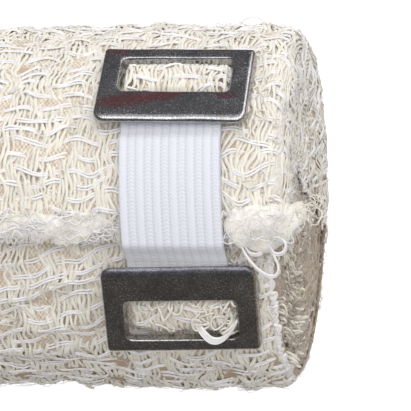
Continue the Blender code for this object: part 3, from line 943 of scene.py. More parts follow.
WEAVE_ROWS = 100
ROW_RANDOM = np.random.default_rng(7)
FLOAT_PERIOD = ROW_RANDOM.uniform(4.6, 7.4, WEAVE_ROWS) * MM
FLOAT_PHASE = ROW_RANDOM.uniform(-0.9, 0.9, WEAVE_ROWS) + np.pi * np.arange(WEAVE_ROWS)
SHORT_PERIOD = ROW_RANDOM.uniform(2.2, 3.2, WEAVE_ROWS) * MM
SHORT_PHASE = ROW_RANDOM.uniform(0, 2 * np.pi, WEAVE_ROWS)
ROW_BIAS = ROW_RANDOM.uniform(-0.25, 0.25, WEAVE_ROWS)
CROSSING_PERIOD = ROW_RANDOM.uniform(1.7, 3.1, WEAVE_ROWS) * MM
CROSSING_PHASE = ROW_RANDOM.uniform(0, 2 * np.pi, WEAVE_ROWS)
MOST_WARPS = 200
WARP_RANDOM = np.random.default_rng(5)
CRINKLE_LENGTH = WARP_RANDOM.uniform(1.25, 2.1, MOST_WARPS) * MM
CRINKLE_PHASE = WARP_RANDOM.uniform(0, 2 * np.pi, MOST_WARPS)
CRINKLE_SHARE = WARP_RANDOM.uniform(0, 1, MOST_WARPS) ** 2


def arc(angle):
    """Distance along the cloth from the cut edge."""
    return np.radians(angle - CUT_EDGE_ANGLE) * ROLL_RADIUS


def angle_of(run):
    """The angle at a distance along the cloth."""
    return CUT_EDGE_ANGLE + np.degrees(run / ROLL_RADIUS)


def on_lower_layer(run):
    """0 on the loose end and the back, rising to 1 on the bare front of the layer below."""
    return smooth((angle_of(run) - 345) / 35)


def weft_shift(across, run):
    """How far the crosswise rows are pushed along: uneven waves, and a slant on the lower layer."""
    slant = np.radians(0.75) * ROLL_RADIUS * (np.minimum(across, 10 * MM) + 2 * MM) / MM
    waves = uneven(0.55, 21, 7.5, across, run) + uneven(0.16, 22, 3.4, across, run)
    return waves + slant * on_lower_layer(run)


def warp_shift(across, run):
    """How far the lengthwise yarns are pushed sideways: bunches, and slower waves."""
    return uneven(0.30, 11, 4.4, across, run) + uneven(0.35, 12, 12, across, run)


def row_number(row):
    """A row's place in the tables of the weave."""
    return np.clip(row, 0, WEAVE_ROWS - 1).astype(int)


def float_share(across, row, run):
    """How far the weft lies over the warp, 0 to 1: two waves across, of each row's own length."""
    row = row_number(row)
    wave = np.sin(2 * np.pi * across / FLOAT_PERIOD[row] + FLOAT_PHASE[row])
    wave = wave + 0.6 * np.sin(2 * np.pi * across / SHORT_PERIOD[row] + SHORT_PHASE[row])
    bias = ROW_BIAS[row] + 0.30 + 0.45 * on_lower_layer(run)
    return smooth(0.5 + 1.1 * (wave + bias))


def crossing_share(across, row):
    """1 where a single warp stands over the weft in spite of its float, in narrow places."""
    row = row_number(row)
    wave = np.sin(2 * np.pi * across / CROSSING_PERIOD[row] + CROSSING_PHASE[row])
    return smooth((wave - 0.80) / 0.14)


def warps(first, last, step, sides, settings, numbers, seed):
    """Lengthwise yarns between two angles.

    Each yarn keeps its place across the cloth, shifted by the shared waves and by a crinkle of its
    own. It rises and sinks with the share of weft over it, taken between the two rows that it lies
    between.
    """
    rng = np.random.default_rng(seed)
    across = (0.35 * MM - HALF_WIDTH + settings.warp_pitch * numbers)[:, None]
    length = ROLL_RADIUS * np.radians(last - first) * np.ones_like(across)
    run = arc(first) + length * np.linspace(0, 1, int(length.max() / step) + 1)[None, :]
    number = numbers.astype(int)
    crinkle_length = CRINKLE_LENGTH[number][:, None]
    crinkle_phase = CRINKLE_PHASE[number][:, None]
    swing = 0.5 + 0.5 * ripple(31, 6 * MM, across * 3, run)
    own = CRINKLE_SHARE[number][:, None]
    wave = np.sin(2 * np.pi * run / crinkle_length + crinkle_phase)
    crinkle = settings.crinkle * own * (0.3 + swing) * wave
    crinkle = crinkle + uneven(0.17, 35, 2.6, across * 6, run)
    row = (run - weft_shift(across, run)) / settings.weft_pitch
    below = np.floor(row)
    between = smooth(row - below)
    over = float_share(across, below, run) * (1 - between)
    over = over + float_share(across, below + 1, run) * between
    near_row = below + (row - below > 0.5)
    crossing = crossing_share(across, near_row) * hump((row - near_row) / 0.5) * over
    rise = WEAVE_RISE * (1 - 2 * over) + (CROSSING_RISE + 2 * WEAVE_RISE) * crossing
    rise = rise + 0.03 * MM * np.sin(2 * np.pi * run / crinkle_length * 0.8 + 2 * crinkle_phase)
    loft = uneven(0.04, 32, 3, across, run) + 0.03 * MM * np.sin(np.pi * (row - below))
    at = across + (warp_shift(across, run) + crinkle)
    angle = angle_of(run)
    centres = on_cloth(at, angle, -YARN_DEPTH + rise + loft, 0.21 * MM)
    # Yarn lower in the weave takes more of the deep colour: painted shade
    depth = np.clip(0.80 + (rise + loft) / (0.4 * MM), 0, 1)
    shade = rng.uniform(0, 1, len(numbers))
    thick = settings.warp_radius * (1 + 0.22 * ripple(33, 2.2 * MM, across * 5, run))
    return tubes(centres, thick, out_of_cloth(at, angle), sides, shade, depth, WARP_SQUASH)


def warp_numbers(settings):
    """The numbers of the lengthwise yarns that lie on the roll, and of those folded at its end."""
    lying = int((BANDAGE_WIDTH - 0.5 * MM) / settings.warp_pitch)
    folded = int((selvedge(0.0, 1) - HALF_WIDTH) / settings.warp_pitch)
    return np.arange(lying + 1, dtype=float), np.arange(lying + 1, lying + 1 + folded, dtype=float)


def wefts(rows, step, sides, settings, seed):
    """Crosswise strands, two to a row, slowly changing places and rising where they float."""
    rng = np.random.default_rng(seed)
    rows = np.repeat(rows, 2)[:, None]
    wide = HALF_WIDTH + selvedge(angle_of(rows * settings.weft_pitch), 1)
    wide = np.minimum(wide, HALF_WIDTH + FOLD_STOPS[rows.astype(int) % 3])
    across = -HALF_WIDTH + wide * np.linspace(0, 1, int(wide.max() / step) + 1)[None, :]
    side = np.tile([-1.0, 1.0], len(rows) // 2)[:, None]
    base = rows * settings.weft_pitch
    twist_phase = np.repeat(rng.uniform(0, 2 * np.pi, len(rows) // 2), 2)[:, None]
    turn = 0.5 * np.sin(2 * np.pi * across / (19 * MM) + twist_phase)
    beside = side * settings.weft_radius * 1.12
    run = base + weft_shift(across, base) + beside * np.cos(turn)
    run = run + uneven(0.05, 41 + seed, 2.5, across, base * 7 + side * MM)
    over = float_share(across - warp_shift(across, base), rows, base)
    rise = (WEAVE_RISE + 0.03 * MM) * (2 * over - 1) + 0.5 * beside * np.sin(turn)
    loft = 0.04 * MM * over + uneven(0.03, 42, 3, across, base * 5)
    angle = angle_of(run)
    centres = on_cloth(across, angle, -YARN_DEPTH + rise + loft, 0.17 * MM)
    # Yarn lower in the weave takes more of the deep colour: painted shade
    depth = np.clip(0.65 + (rise + loft) / (0.3 * MM), 0, 1)
    shade = rng.uniform(0, 1, len(rows))
    out = out_of_cloth(across, angle)
    return tubes(centres, settings.weft_radius, out, sides, shade, depth, WEFT_SQUASH)


# ---------------------------------------------------------------- the cloth and its yarns


def wound_radius(x, angle):
    """The outside of every turn: the outermost as it is, and its relief dying away inwards."""
    turn = np.floor((angle - LOOSE_END_TO) / 360)
    outermost = angle - 360 * turn
    off = layer_radius(x, outermost) - turn_radius(outermost)
    return turn_radius(angle) + off * RELIEF_LEFT**turn


def ground_columns(half):
    """Places across the ground cloth, from one edge to the other, closer together near them."""
    edge = np.array([0, 0.4, 1.0, 1.8]) * MM
    middle = np.linspace(-half + 3.4 * MM, half - 3.4 * MM, 16)
    return np.concatenate([-half + edge, middle, (half - edge)[::-1]])


def put_wound_cloth(half, material):
    """The wound body, a spiral of ground cloth dished at its ends, and the length of its path."""
    across = ground_columns(half)
    seen = np.arange(LOOSE_END_TO + 0.4, UNSEEN_FROM, 3.0)
    wound = np.arange(UNSEEN_FROM, CUT_EDGE_ANGLE + 360 * TURNS, 12.0)
    angle = np.concatenate([seen, wound])[:, None]
    middle = wound_radius(0 * angle, angle)
    dish = FACE_DISH * (1 - (middle / ROLL_RADIUS) ** 2)
    dish = (dish + 0.25 * MM * np.sin(np.radians(angle) * 0.37 + 1)) * (angle > UNSEEN_FROM - 20)
    x = across * (1 - dish / half) + sideways(angle)
    inner_turns = np.maximum(np.floor((angle - LOOSE_END_TO) / 360), 0)
    sunk = np.maximum(rim_drop(across) - inner_turns * TURN_THICKNESS, 0)
    outer = wound_radius(x, angle) - sunk - BASE_DEPTH
    near_window = (angle > NEAR_LOWER_WINDOW[0]) & (angle < NEAR_LOWER_WINDOW[1])
    outer = outer + in_windows(x, angle) * near_window
    at_edge = 1 - smooth((half - abs(across)) / (2 * MM))
    inner = outer - BASE_THICKNESS - 0.65 * MM * at_edge * (inner_turns > 0)
    top, under = place(x, angle, outer), place(x, angle, inner)
    made = slab("wound_cloth", top, under, x, arc(angle) + 0 * x, material)
    path = place(0 * angle, angle, middle)[:, 0]
    return made, float(np.linalg.norm(np.diff(path, axis=0), axis=-1).sum())


def put_loose_cloth(half, material):
    """The loose end's ground, from its cut edge over the top."""
    across = ground_columns(half)
    angle = np.concatenate([[0.0, 0.6], np.linspace(1.6, LOOSE_END_SPAN - 0.6, 54)])[:, None]
    first = edge_angle(across + TURN_DRIFT) - CUT_EDGE_ANGLE
    angle = CUT_EDGE_ANGLE + 0.5 + first * (1 - angle / LOOSE_END_SPAN) + angle
    x = across + sideways(angle)
    outer = loose_end_radius(x, angle) - rim_drop(across) - BASE_DEPTH + in_windows(x, angle)
    top, under = place(x, angle, outer), place(x, angle, outer - BASE_THICKNESS)
    return slab("loose_cloth", top, under, x, arc(angle), material)


def put_folded_cloth(material):
    """The ground of the part that is folded over the +X end face."""
    angle = np.linspace(CUT_EDGE_ANGLE + 0.5, FOLD_END[1] - 4, 66)[:, None]
    width = selvedge(angle, 1) - HALF_WIDTH
    across = HALF_WIDTH - 1.0 * MM + np.linspace(0, 1, 16)[None, :] * width
    run = arc(angle) + 0 * across
    top, under = (on_cloth(across, angle, -BASE_DEPTH - thick + 0 * run) for thick in (0, 0.3 * MM))
    return slab("folded_cloth", top, under, across, run, material)


class BANDAGE_OT_wind_cloth(bpy.types.Operator):
    """Wind the ground cloth in a spiral, and lay its loose end over it"""

    bl_idname = "bandage.wind_cloth"
    bl_label = "Wind the cloth"

    def execute(self, context):
        colour = context.scene.bandage.ground
        # The deep browns are painted shade in the gaps; the folded part's is lighter and has no
        # painted shade at the end face
        ground = ground_material("cloth_ground", colour, (0.56, 0.44, 0.34))
        lit = ground_material("folded_ground", colour, (0.66, 0.56, 0.46), shaded_ends=False)
        half = HALF_WIDTH - 0.3 * MM
        cloth, length = put_wound_cloth(half, ground)
        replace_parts(cloth, "bandage_roll")
        loose = put_loose_cloth(half, ground)
        folded = put_folded_cloth(lit)
        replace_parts(loose, "loose_end")
        return {"FINISHED"}


class BANDAGE_OT_lay_warps(bpy.types.Operator):
    """Lay the crinkled lengthwise yarns"""

    bl_idname = "bandage.lay_warps"
    bl_label = "Lay the warps"

    def execute(self, context):
        settings = context.scene.bandage
        cream = warp_material(settings)
        lying, folded = warp_numbers(settings)
        start = CUT_EDGE_ANGLE - 1.0
        ragged = np.random.default_rng(17).uniform(-9, 9, len(folded))
        fold_ends = (np.linspace(FOLD_END[1], FOLD_END[0], len(folded)) + ragged)[:, None]
        spans = (
            ("warps_loose_end", start, LOOSE_END_TO, 0.56 * MM, 5, "crepe_outer", lying),
            ("warps_back", LOOSE_END_TO - 1, FRONT_FROM, 1.05 * MM, 4, "crepe", lying),
            ("warps_front", FRONT_FROM - 1, FRONT_WARPS_TO, 0.56 * MM, 5, "crepe", lying),
            ("warps_folded", start, fold_ends, 0.60 * MM, 4, "crepe", folded),
        )
        for index, (name, first, last, step, sides, slot, numbers) in enumerate(spans):
            yarns = warps(first, last, step, sides, settings, numbers, 60 + index)
            strands(name, [yarns], cream)
        return {"FINISHED"}


class BANDAGE_OT_lay_wefts(bpy.types.Operator):
    """Lay the paired crosswise strands"""

    bl_idname = "bandage.lay_wefts"
    bl_label = "Lay the wefts"

    def execute(self, context):
        settings = context.scene.bandage
        white = weft_material(settings)
        pitch = settings.weft_pitch
        loose_rows = int(arc(LOOSE_END_TO) / pitch)
        back_rows = int(arc(FRONT_FROM) / pitch)
        last_row = int(arc(FRONT_WEFTS_TO) / pitch)
        spans = (
            ("wefts_loose_end", np.arange(1, loose_rows), 0.6 * MM, 5, "crepe_outer"),
            ("wefts_back", np.arange(loose_rows, back_rows), 1.0 * MM, 4, "crepe"),
            ("wefts_front", np.arange(back_rows, last_row), 0.6 * MM, 5, "crepe"),
        )
        for index, (name, rows, step, sides, slot) in enumerate(spans):
            strands(name, [wefts(rows.astype(float), step, sides, settings, index)], white)
        return {"FINISHED"}


class BANDAGE_OT_finish_ends(bpy.types.Operator):
    """Run edge yarns and small loops along the selvedge of every turn"""

    bl_idname = "bandage.finish_ends"
    bl_label = "Finish the end faces"

    def execute(self, context):
        settings = context.scene.bandage
        white = weft_material(settings)
        # Yarn whose colour runs from the end faces' painted light to their painted shade
        shaded = yarn_material("shaded_yarn", END_LIT_HIGH, END_SHADE_LOW, 1.1, 0.06 * MM, 0.2)
        hazy = yarn_material(
            "end_fuzz", (0.80, 0.76, 0.70), (0.62, 0.55, 0.48), 1.1, 0.01 * MM, 0.2
        )
        for side, word, fibres in ((-1, "left", 900), (1, "right", 1400)):
            strands(f"selvedge_loops_{word}", selvedge_loops(side, settings), white)
            strands(f"end_face_yarns_{word}", end_face_yarns(side), shaded)
            short = end_curls(side, 52, 140 + side, (0.5 * MM, 1.2 * MM), 0.14 * MM)
            long = end_curls(side, 9, 150 + side, (1.2 * MM, 2.1 * MM), 0.17 * MM)
            strands(f"end_curls_{word}", [short, long], warp_material(settings))
            fuzz = end_face_fuzz(side, fibres, 130 + side)
            strands(f"end_face_fuzz_{word}", [fuzz], hazy)
        return {"FINISHED"}


def face_x(angle, side, seed):
    """Where each turn's selvedge stands at an end face: dished, and no two turns quite alike."""
    share = np.clip(turn_radius(angle) / ROLL_RADIUS, 0, 1)
    dish = FACE_DISH * (1 - share**2) * smooth((angle - DISH_FROM) / DISH_RUN)
    return side * (HALF_WIDTH - dish + uneven(0.30, seed, 45, arc(angle), 0)) + sideways(angle)


def rim_radius(side, angle):
    """The outside of every turn at its selvedge."""
    return wound_radius(np.full_like(angle, side * HALF_WIDTH), angle)


def selvedge_loops(side, settings):
    """Weft turning back at the selvedge: half ellipses that hug the rim of the outermost turn.

    Further in, a few loops of each turn stand out of the end face.
    """
    rng = np.random.default_rng(80 + side)
    pitch = settings.weft_pitch
    last = arc(CUT_EDGE_ANGLE + 360 * (TURNS - 2))
    first_inner = int(arc(RIM_LOOPS_TO) / pitch)
    outer = np.arange(1, first_inner) * pitch
    inner = np.arange(first_inner, int(last / pitch)) * pitch
    inner = inner[rng.uniform(0, 1, len(inner)) < 0.16]
    front = outer[outer > arc(RIM_LOOPS_THICK)]
    kinds = (
        (outer, 4, (0.25, 0.75), (0.8, 1.15), 2),
        (front, 5, (0.45, 1.15), (1.2, 1.8), 4),
        (inner, 3, (0.3, 1.1), (0.6, 0.9), 1),
    )
    t = np.linspace(0, 1, 9)[None, :]
    groups = []
    for starts, sides, reach, thickness, copies in kinds:
        for copy in range(copies):
            draw = columns(rng, len(starts))
            reaches = draw(*reach) * MM
            droop = draw(-0.1, 0.6) * MM
            lean = draw(-0.4, 0.4) * MM
            wide = pitch * draw(0.35, 0.75)
            start = starts[:, None] + copy * pitch / copies
            run = start + wide * (0.5 - 0.5 * np.cos(np.pi * t)) + lean * arch(t)
            angle = angle_of(run)
            out = arch(t) ** 0.7 * reaches - 0.7 * MM
            height = -YARN_DEPTH + draw(-0.25, 0.15) * MM
            if starts is inner:
                x = face_x(angle, side, 90 + side) + side * out
                base = rim_radius(side, angle) - droop * arch(t) ** 2
                centres = place(x, angle, np.maximum(base + height, 0.3 * MM), 0.16 * MM)
            else:
                across = side * (selvedge(angle, side) + out)
                centres = on_cloth(across, angle, height + 0.15 * MM, 0.16 * MM)
            shade = rng.uniform(0, 1, len(starts))
            thick = settings.weft_radius * draw(*thickness)
            # A loop is darker towards its ends, where it goes into the cloth: painted shade
            depth = 0.45 + 0.5 * arch(t)
            groups.append(tubes(centres, thick, outwards_at(angle), sides, shade, depth))
    return groups


def brightness(points):
    """How far an end face takes painted light over painted shade: 0 low on it, towards the front,
    to 1 high up and towards the back.
    """
    up = points[..., 1] * END_SLOPE[0] + (points[..., 2] - AXIS_HEIGHT) * END_SLOPE[1]
    return smooth((up - END_SPAN[0]) / (END_SPAN[1] - END_SPAN[0]))


def end_curls(side, count, seed, lengths, thick):
    """Loops of loose yarn low on an end face: bent ellipses that stand out of it along X."""
    rng = np.random.default_rng(seed)
    draw = columns(rng, count)
    t = np.linspace(-1, 1, 18)[None, :]
    turn = t * np.pi * draw(0.6, 1.0)
    radius = draw(9.0, 21.5) * MM
    angle = draw(-34, 38)
    wide = draw(0.35, 0.8) * MM
    long = draw(*lengths)
    lean = draw(-0.7, 0.7)
    out = long * (1 + np.cos(turn)) / 2
    around = wide * (np.sin(turn) + 0.3 * np.sin(2.3 * turn + lean)) + lean * out
    radial = radius + draw(-0.4, 0.4) * out + 0.1 * MM * np.sin(2 * turn)
    x = side * (HALF_WIDTH - 0.4 * MM + out)
    turned = angle + np.degrees(around / radius)
    thick = thick * draw(0.8, 1.15)
    centres = place(x, turned, radial, 0.2 * MM)
    return tubes(centres, thick, outwards_at(turned), 5, rng.uniform(0, 1, count), 0.75)


def end_face_yarns(side):
    """Edge yarns that wind inwards with the cloth, waving in and out of the end face."""
    rng = np.random.default_rng(70 + side)
    groups = []
    first, last = CUT_EDGE_ANGLE + EDGE_YARNS_FROM, CUT_EDGE_ANGLE + 360 * TURNS
    for lane in (-0.28, 0.28):
        run = np.arange(arc(first), arc(last) - 1 * MM, 1.25 * MM)
        angle = angle_of(run)[None, :]
        wave = uneven(0.22, 95 + int(lane * 10) + side, 3.6, run, 0)[None, :]
        sunk = 0.35 * MM + uneven(0.3, 97 + side, 4, run, lane)
        x = face_x(angle, side, 90 + side) - side * sunk
        radius = np.maximum(rim_radius(side, angle) - 0.5 * MM + lane * MM + wave, 0.3 * MM)
        centres = place(x, angle, radius, 0.26 * MM)
        thick = 0.25 * MM * (1 + 0.3 * ripple(99 + side, 2.5 * MM, run, lane))[None, :]
        # Their depth value gives them the end faces' painted shade and light
        shade, depth = rng.uniform(0, 1, 1), 0.9 * brightness(centres)
        groups.append(tubes(centres, thick, outwards_at(angle), 4, shade, depth))
    return groups


def end_face_fuzz(side, count, seed):
    """Fine fibres over an end face: short bent arcs in any direction, rising a little from it."""
    rng = np.random.default_rng(seed)
    draw = columns(rng, count)
    t = np.linspace(0, 1, 5)[None, :]
    angle = draw(CUT_EDGE_ANGLE, CUT_EDGE_ANGLE + 360)
    limit = layer_radius(0 * angle + side * (HALF_WIDTH - 1.0 * MM), angle) - SHOULDER
    radius = limit * np.sqrt(rng.uniform(0.004, 1.0, count))[:, None]
    way = draw(0, 2 * np.pi)
    length = draw(0.9, 2.6) * MM
    bend = draw(-0.5, 0.5) * length
    ahead = length * (t - 0.5)
    beside = bend * arch(t)
    radial, around = swung(ahead, beside, way)
    out = draw(-0.1, 0.2) * MM + draw(0, 0.8) * MM * arch(t)
    turned = angle + np.degrees(around / np.maximum(radius, 2 * MM))
    at = np.clip(radius + radial, 0.5 * MM, limit)
    dish = FACE_DISH * (1 - (radius / ROLL_RADIUS) ** 2)
    x = side * (HALF_WIDTH - dish + out) + TURN_DRIFT * (radius / ROLL_RADIUS) ** 8
    centres = place(x, turned, at, 0.06 * MM)
    turn = np.radians(angle[:, 0]) + way[:, 0] + 1.57
    flat = np.stack([0 * turn, -np.cos(turn), np.sin(turn)], axis=-1)
    shade = rng.uniform(0, 1, count)
    return tubes(centres, 0.042 * MM, flat[:, None] + 0.01, 3, shade, draw(0.2, 1.0))


# ---------------------------------------------------------------- loose fibres and snarls


def fine_fibres(spots, seed, length, rise, radius):
    """Short thin fibres that leave the cloth, bend over and come back near it.

    spots is an array of places: across, angle, height. A fibre runs straight along the cloth with a
    sideways bend in a half sine, and rises in a half sine too.
    """
    rng = np.random.default_rng(seed)
    count = len(spots)
    draw = columns(rng, count)
    t = np.linspace(0, 1, 6)[None, :]
    way = draw(0, 2 * np.pi)
    long = draw(*in_mm(length))
    bend = draw(-0.45, 0.45) * long
    up = draw(*in_mm(rise))
    ahead = long * (t - 0.5)
    beside = bend * arch(t)
    across, run = swung(ahead, beside, way, spots[:, :1], arc(spots[:, 1:2]))
    height = spots[:, 2:3] + up * np.sin(np.pi * t * draw(0.6, 1.0))
    angle = angle_of(run)
    centres = on_cloth(across, angle, height, 0.05 * MM)
    flat_way = np.stack([np.cos(way)[:, 0], np.sin(way)[:, 0]], axis=-1)
    turn = np.radians(spots[:, 1])
    along_cloth = np.stack([0 * turn, np.sin(turn), np.cos(turn)], axis=-1)
    lengthwise = np.array([1.0, 0, 0])
    reference = (
        flat_way[:, 1:] * lengthwise - flat_way[:, :1] * along_cloth
        + 0.2 * outwards_at(spots[:, 1])
    )
    return tubes(centres, radius * MM, reference[:, None], 3, rng.uniform(0, 1, count), 1.0)


def snarls(spots, seed, size, radius):
    """Small closed curls of overtwisted yarn: circles with crossed ends, tipped up."""
    rng = np.random.default_rng(seed)
    count = len(spots)
    draw = columns(rng, count)
    t = np.linspace(-1, 1, 16)[None, :]
    turn = t * np.pi * draw(0.55, 1.15)
    wide = draw(*in_mm(size))
    long = wide * draw(0.8, 2.0)
    bent = draw(0.15, 0.45) * np.sin(2.1 * turn + draw(0, 2 * np.pi))
    one = wide * (np.sin(turn) + bent)
    two = long * (1 + np.cos(turn)) - long + 0.4 * wide * bent
    way = draw(0, 2 * np.pi)
    across, run = swung(one, two, way, spots[:, :1], arc(spots[:, 1:2]))
    tip = draw(0.0, 0.8)
    height = spots[:, 2:3] + tip * (1 + np.cos(turn)) * 0.5 * long + 0.14 * MM * t
    angle = angle_of(run)
    centres = on_cloth(across, angle, height, radius * MM + 0.02 * MM)
    thick = radius * MM * draw(0.75, 1.1)
    return tubes(centres, thick, outwards_at(angle), 4, rng.uniform(0, 1, count), 0.9)


def in_mm(limits):
    """Two limits that are given in millimetres."""
    return [MM * limit for limit in limits]


def scatter(count, seed, across, angle, height):
    """Random places on the cloth: across it and above it in millimetres, round it in degrees."""
    rng = np.random.default_rng(seed)
    limits = (in_mm(across), angle, in_mm(height))
    return np.stack([rng.uniform(*pair, count) for pair in limits], axis=-1)


def stray_yarns(count, seed, across, angle, height, length, radius, level):
    """Loose ends of yarn lying over each other: wavy paths that mostly run across the cloth.

    level is how nearly they keep to the crosswise direction, 1 being along it.
    """
    rng = np.random.default_rng(seed)
    draw = columns(rng, count)
    spots = scatter(count, seed + 1, across, angle, height)
    t = np.linspace(0, 1, 18)[None, :]
    way = rng.normal(0, 1 - level, count)[:, None]
    long = draw(*in_mm(length))
    ahead = long * (t - 0.5)
    wave = draw(0.1, 0.4) * MM
    rate = draw(1.0, 2.6)
    beside = wave * np.sin(2 * np.pi * (rate * t + draw(0, 1)))
    across_at, run = swung(ahead, beside, way, spots[:, :1], arc(spots[:, 1:2]))
    bow = draw(-0.1, 0.35) * MM
    rise = spots[:, 2:3] + bow * arch(t) - 0.25 * MM * (2 * t - 1) ** 4
    turned = angle_of(run)
    centres = on_cloth(across_at, turned, rise, 0.2 * MM)
    thick = radius * MM * draw(0.7, 1.1)
    return tubes(centres, thick, outwards_at(turned), 5, rng.uniform(0, 1, count), 0.95)


# Loose ends along the cut edge, left and right of the clip: how many, and their seed; the limits of
# their place across, round and above the cloth, and of their length; their radius, and how level
# they lie. Millimetres and degrees.
FRAYED_WHITE = (
    (90, 200, (-29, 9), (41.0, 48.5), (0.35, 0.75), (2, 6), 0.09, 0.8),
    (12, 210, (22, 30), (40, 48.5), (0.6, 1.1), (1.5, 4), 0.07, 0.8),
)
FRAYED_CREAM = (
    (70, 220, (-29, 9), (40.2, 49), (0.25, 0.6), (1.5, 4), 0.11, 0.55),
    (10, 230, (21, 30), (40, 49), (0.5, 1.0), (1.5, 3.5), 0.10, 0.3),
)


class BANDAGE_OT_fray_edge(bpy.types.Operator):
    """Fray the cut edge, with rolls of cotton, a tuft at its corner and hanging loops"""

    bl_idname = "bandage.fray_edge"
    bl_label = "Fray the cut edge"

    def execute(self, context):
        settings = context.scene.bandage
        cream, white = warp_material(settings), weft_material(settings)
        edge_puffs(fluff_material("teased_cotton", (0.98, 0.975, 0.955), (0.93, 0.905, 0.83)))
        groups = [stray_yarns(*row) for row in FRAYED_WHITE]
        strands("frayed_edge_white", groups, white)
        groups = [stray_yarns(*row) for row in FRAYED_CREAM] + [corner_tuft(240, 42, 0.08 * MM)]
        strands("frayed_edge_cream", groups, cream)
        strands("hanging_loops", hanging_loops(), white)
        return {"FINISHED"}


def put_puff(name, centres, width, height, seed, material):
    """A lumpy roll of teased cotton along a path: an ellipse at each station, swollen by noise."""
    sides = 30
    tangent = np.gradient(centres, axis=0)
    tangent /= np.linalg.norm(tangent, axis=-1, keepdims=True)
    from_axis = centres * [0, 1, 1] - [0, 0, AXIS_HEIGHT]
    across = np.cross(tangent, from_axis)
    across /= np.linalg.norm(across, axis=-1, keepdims=True)
    lift = np.cross(across, tangent)
    run = np.concatenate([[0], np.cumsum(np.linalg.norm(np.diff(centres, axis=0), axis=-1))])
    turn = (2 * np.pi * np.arange(sides) / sides)[None, :]
    share = (run / run[-1])[:, None]
    end = np.sqrt(np.clip(1 - abs(2 * share - 1) ** 12, 0, 1)) + 0.02
    spot = run[:, None] + MM * np.cos(turn)
    other = 1.6 * MM * np.sin(turn) + 0 * run[:, None]
    swell = 1
    for step, (rise, wavelength) in enumerate(((0.16, 3.2), (0.07, 1.5), (0.025, 0.8))):
        swell = swell + rise * ripple(seed + step, wavelength * MM, spot, other)
    out = (width[:, None] * np.cos(turn) * swell * end)[..., None] * across[:, None]
    up = (height[:, None] * np.sin(turn) * swell * end)[..., None] * lift[:, None]
    points = (centres[:, None] + out + up).reshape(-1, 3)
    number = np.arange(len(points)).reshape(-1, sides)
    quads = band_faces(number[:-1], number[1:])
    uv = band_uv(run, 3.5 * MM, quads.shape[:2])
    quads = quads.reshape(-1, 4)
    caps = np.stack([number[0, ::-1], number[-1]])
    if facing_in(points, quads):
        quads, caps, uv = quads[:, ::-1], caps[:, ::-1], uv[:, :, ::-1]
    uv = np.concatenate([uv.reshape(-1, 2) / MM, np.zeros((caps.size, 2))])
    return finish_piece(put_mesh(name, points, [quads, caps], uv), material)


# The loose corner's puff: x, angle, distance from the roll's axis, half width and half height, in
# millimetres and degrees
CORNER_PATH = (
    (24.2, 44.5, 23.9, 0.8, 0.5),
    (25.6, 44.6, 24.2, 2.0, 0.9),
    (27.6, 44.4, 24.3, 2.7, 1.15),
    (29.4, 44.4, 24.1, 2.7, 1.2),
    (31.0, 45.5, 22.9, 2.3, 1.1),
    (31.9, 47.5, 21.0, 1.9, 1.0),
    (32.2, 49.0, 18.6, 1.5, 0.8),
    (32.2, 50.0, 16.0, 1.0, 0.6),
    (32.0, 50.0, 14.0, 0.5, 0.4),
)


def edge_puffs(material):
    """The swollen cut edge on both sides of the clip, with its loose corner folded down."""
    x = np.arange(-29.0 * MM, 10.6 * MM, 0.22 * MM)
    angle = edge_angle(x) + 4.2
    swing = ripple(61, 7 * MM, x, 0)
    angle = angle + 0.7 * swing
    fade = 1 - smooth((x - 8.2 * MM) / (2.6 * MM))
    centres = place(x, angle, loose_end_radius(x, angle) - (0.15 + 0.35 * (1 - fade)) * MM)
    width = MM * (1.45 + 0.25 * ripple(62, 6 * MM, x, 0)) * (0.6 + 0.4 * fade)
    height = MM * (0.62 + 0.12 * swing) * (0.35 + 0.65 * fade)
    put_puff("edge_puff_left", centres, width, height, 63, material)
    path = eased_rows(CORNER_PATH, 14)
    centres = place(path[:, 0] * MM, path[:, 1], path[:, 2] * MM)
    put_puff("edge_puff_right", centres, path[:, 3] * MM, path[:, 4] * MM, 66, material)


def eased_rows(points, steps):
    """Rows of numbers joined by a smooth curve through them all (a Catmull-Rom spline)."""
    table = np.array(points)
    padded = np.concatenate([2 * table[:1] - table[1:2], table, 2 * table[-1:] - table[-2:-1]])
    t = np.linspace(0, 1, steps, endpoint=False)[:, None]
    rows = []
    for a, b, c, d in zip(padded, padded[1:], padded[2:], padded[3:]):
        square, cube = 2 * a - 5 * b + 4 * c - d, 3 * b - a - 3 * c + d
        rows.append(0.5 * (2 * b + (c - a) * t + square * t**2 + cube * t**3))
    return np.concatenate(rows + [table[-1:]])


def corner_tuft(seed, count, radius):
    """Tangled yarn at the loose corner, curling over the rim and a little way down the end face.

    Each piece is a short arc round a place on a slope that runs from the cut edge, over the rim,
    and inwards.
    """
    rng = np.random.default_rng(seed)
    draw = columns(rng, count)
    share = rng.uniform(0, 1, count) ** 0.8
    angle = 40 + 10 * share + rng.uniform(-2.2, 4.5, count)
    x = 29.0 * MM + 5.6 * MM * np.sin(share * np.pi / 2) + rng.uniform(-0.8, 0.6, count) * MM
    radius_at = 24.6 * MM - 9.0 * MM * share**2 + rng.uniform(-0.8, 0.5, count) * MM
    t = np.linspace(0, 1, 12)[None, :]
    one = rng.normal(0, 1, (count, 3))
    one /= np.linalg.norm(one, axis=-1, keepdims=True)
    two = rng.normal(0, 1, (count, 3))
    two = np.cross(one, two)
    two /= np.linalg.norm(two, axis=-1, keepdims=True)
    size = rng.uniform(0.5, 1.4, count)[:, None, None] * MM
    bend = (t * draw(2.0, 4.5))[..., None]
    middle = place(x, angle, radius_at)[:, None]
    centres = middle + size * (np.cos(bend) * one[:, None] + np.sin(bend) * two[:, None])
    reference = np.cross(one, two)[:, None]
    return tubes(centres, radius, reference, 5, rng.uniform(0, 1, count), 0.95)


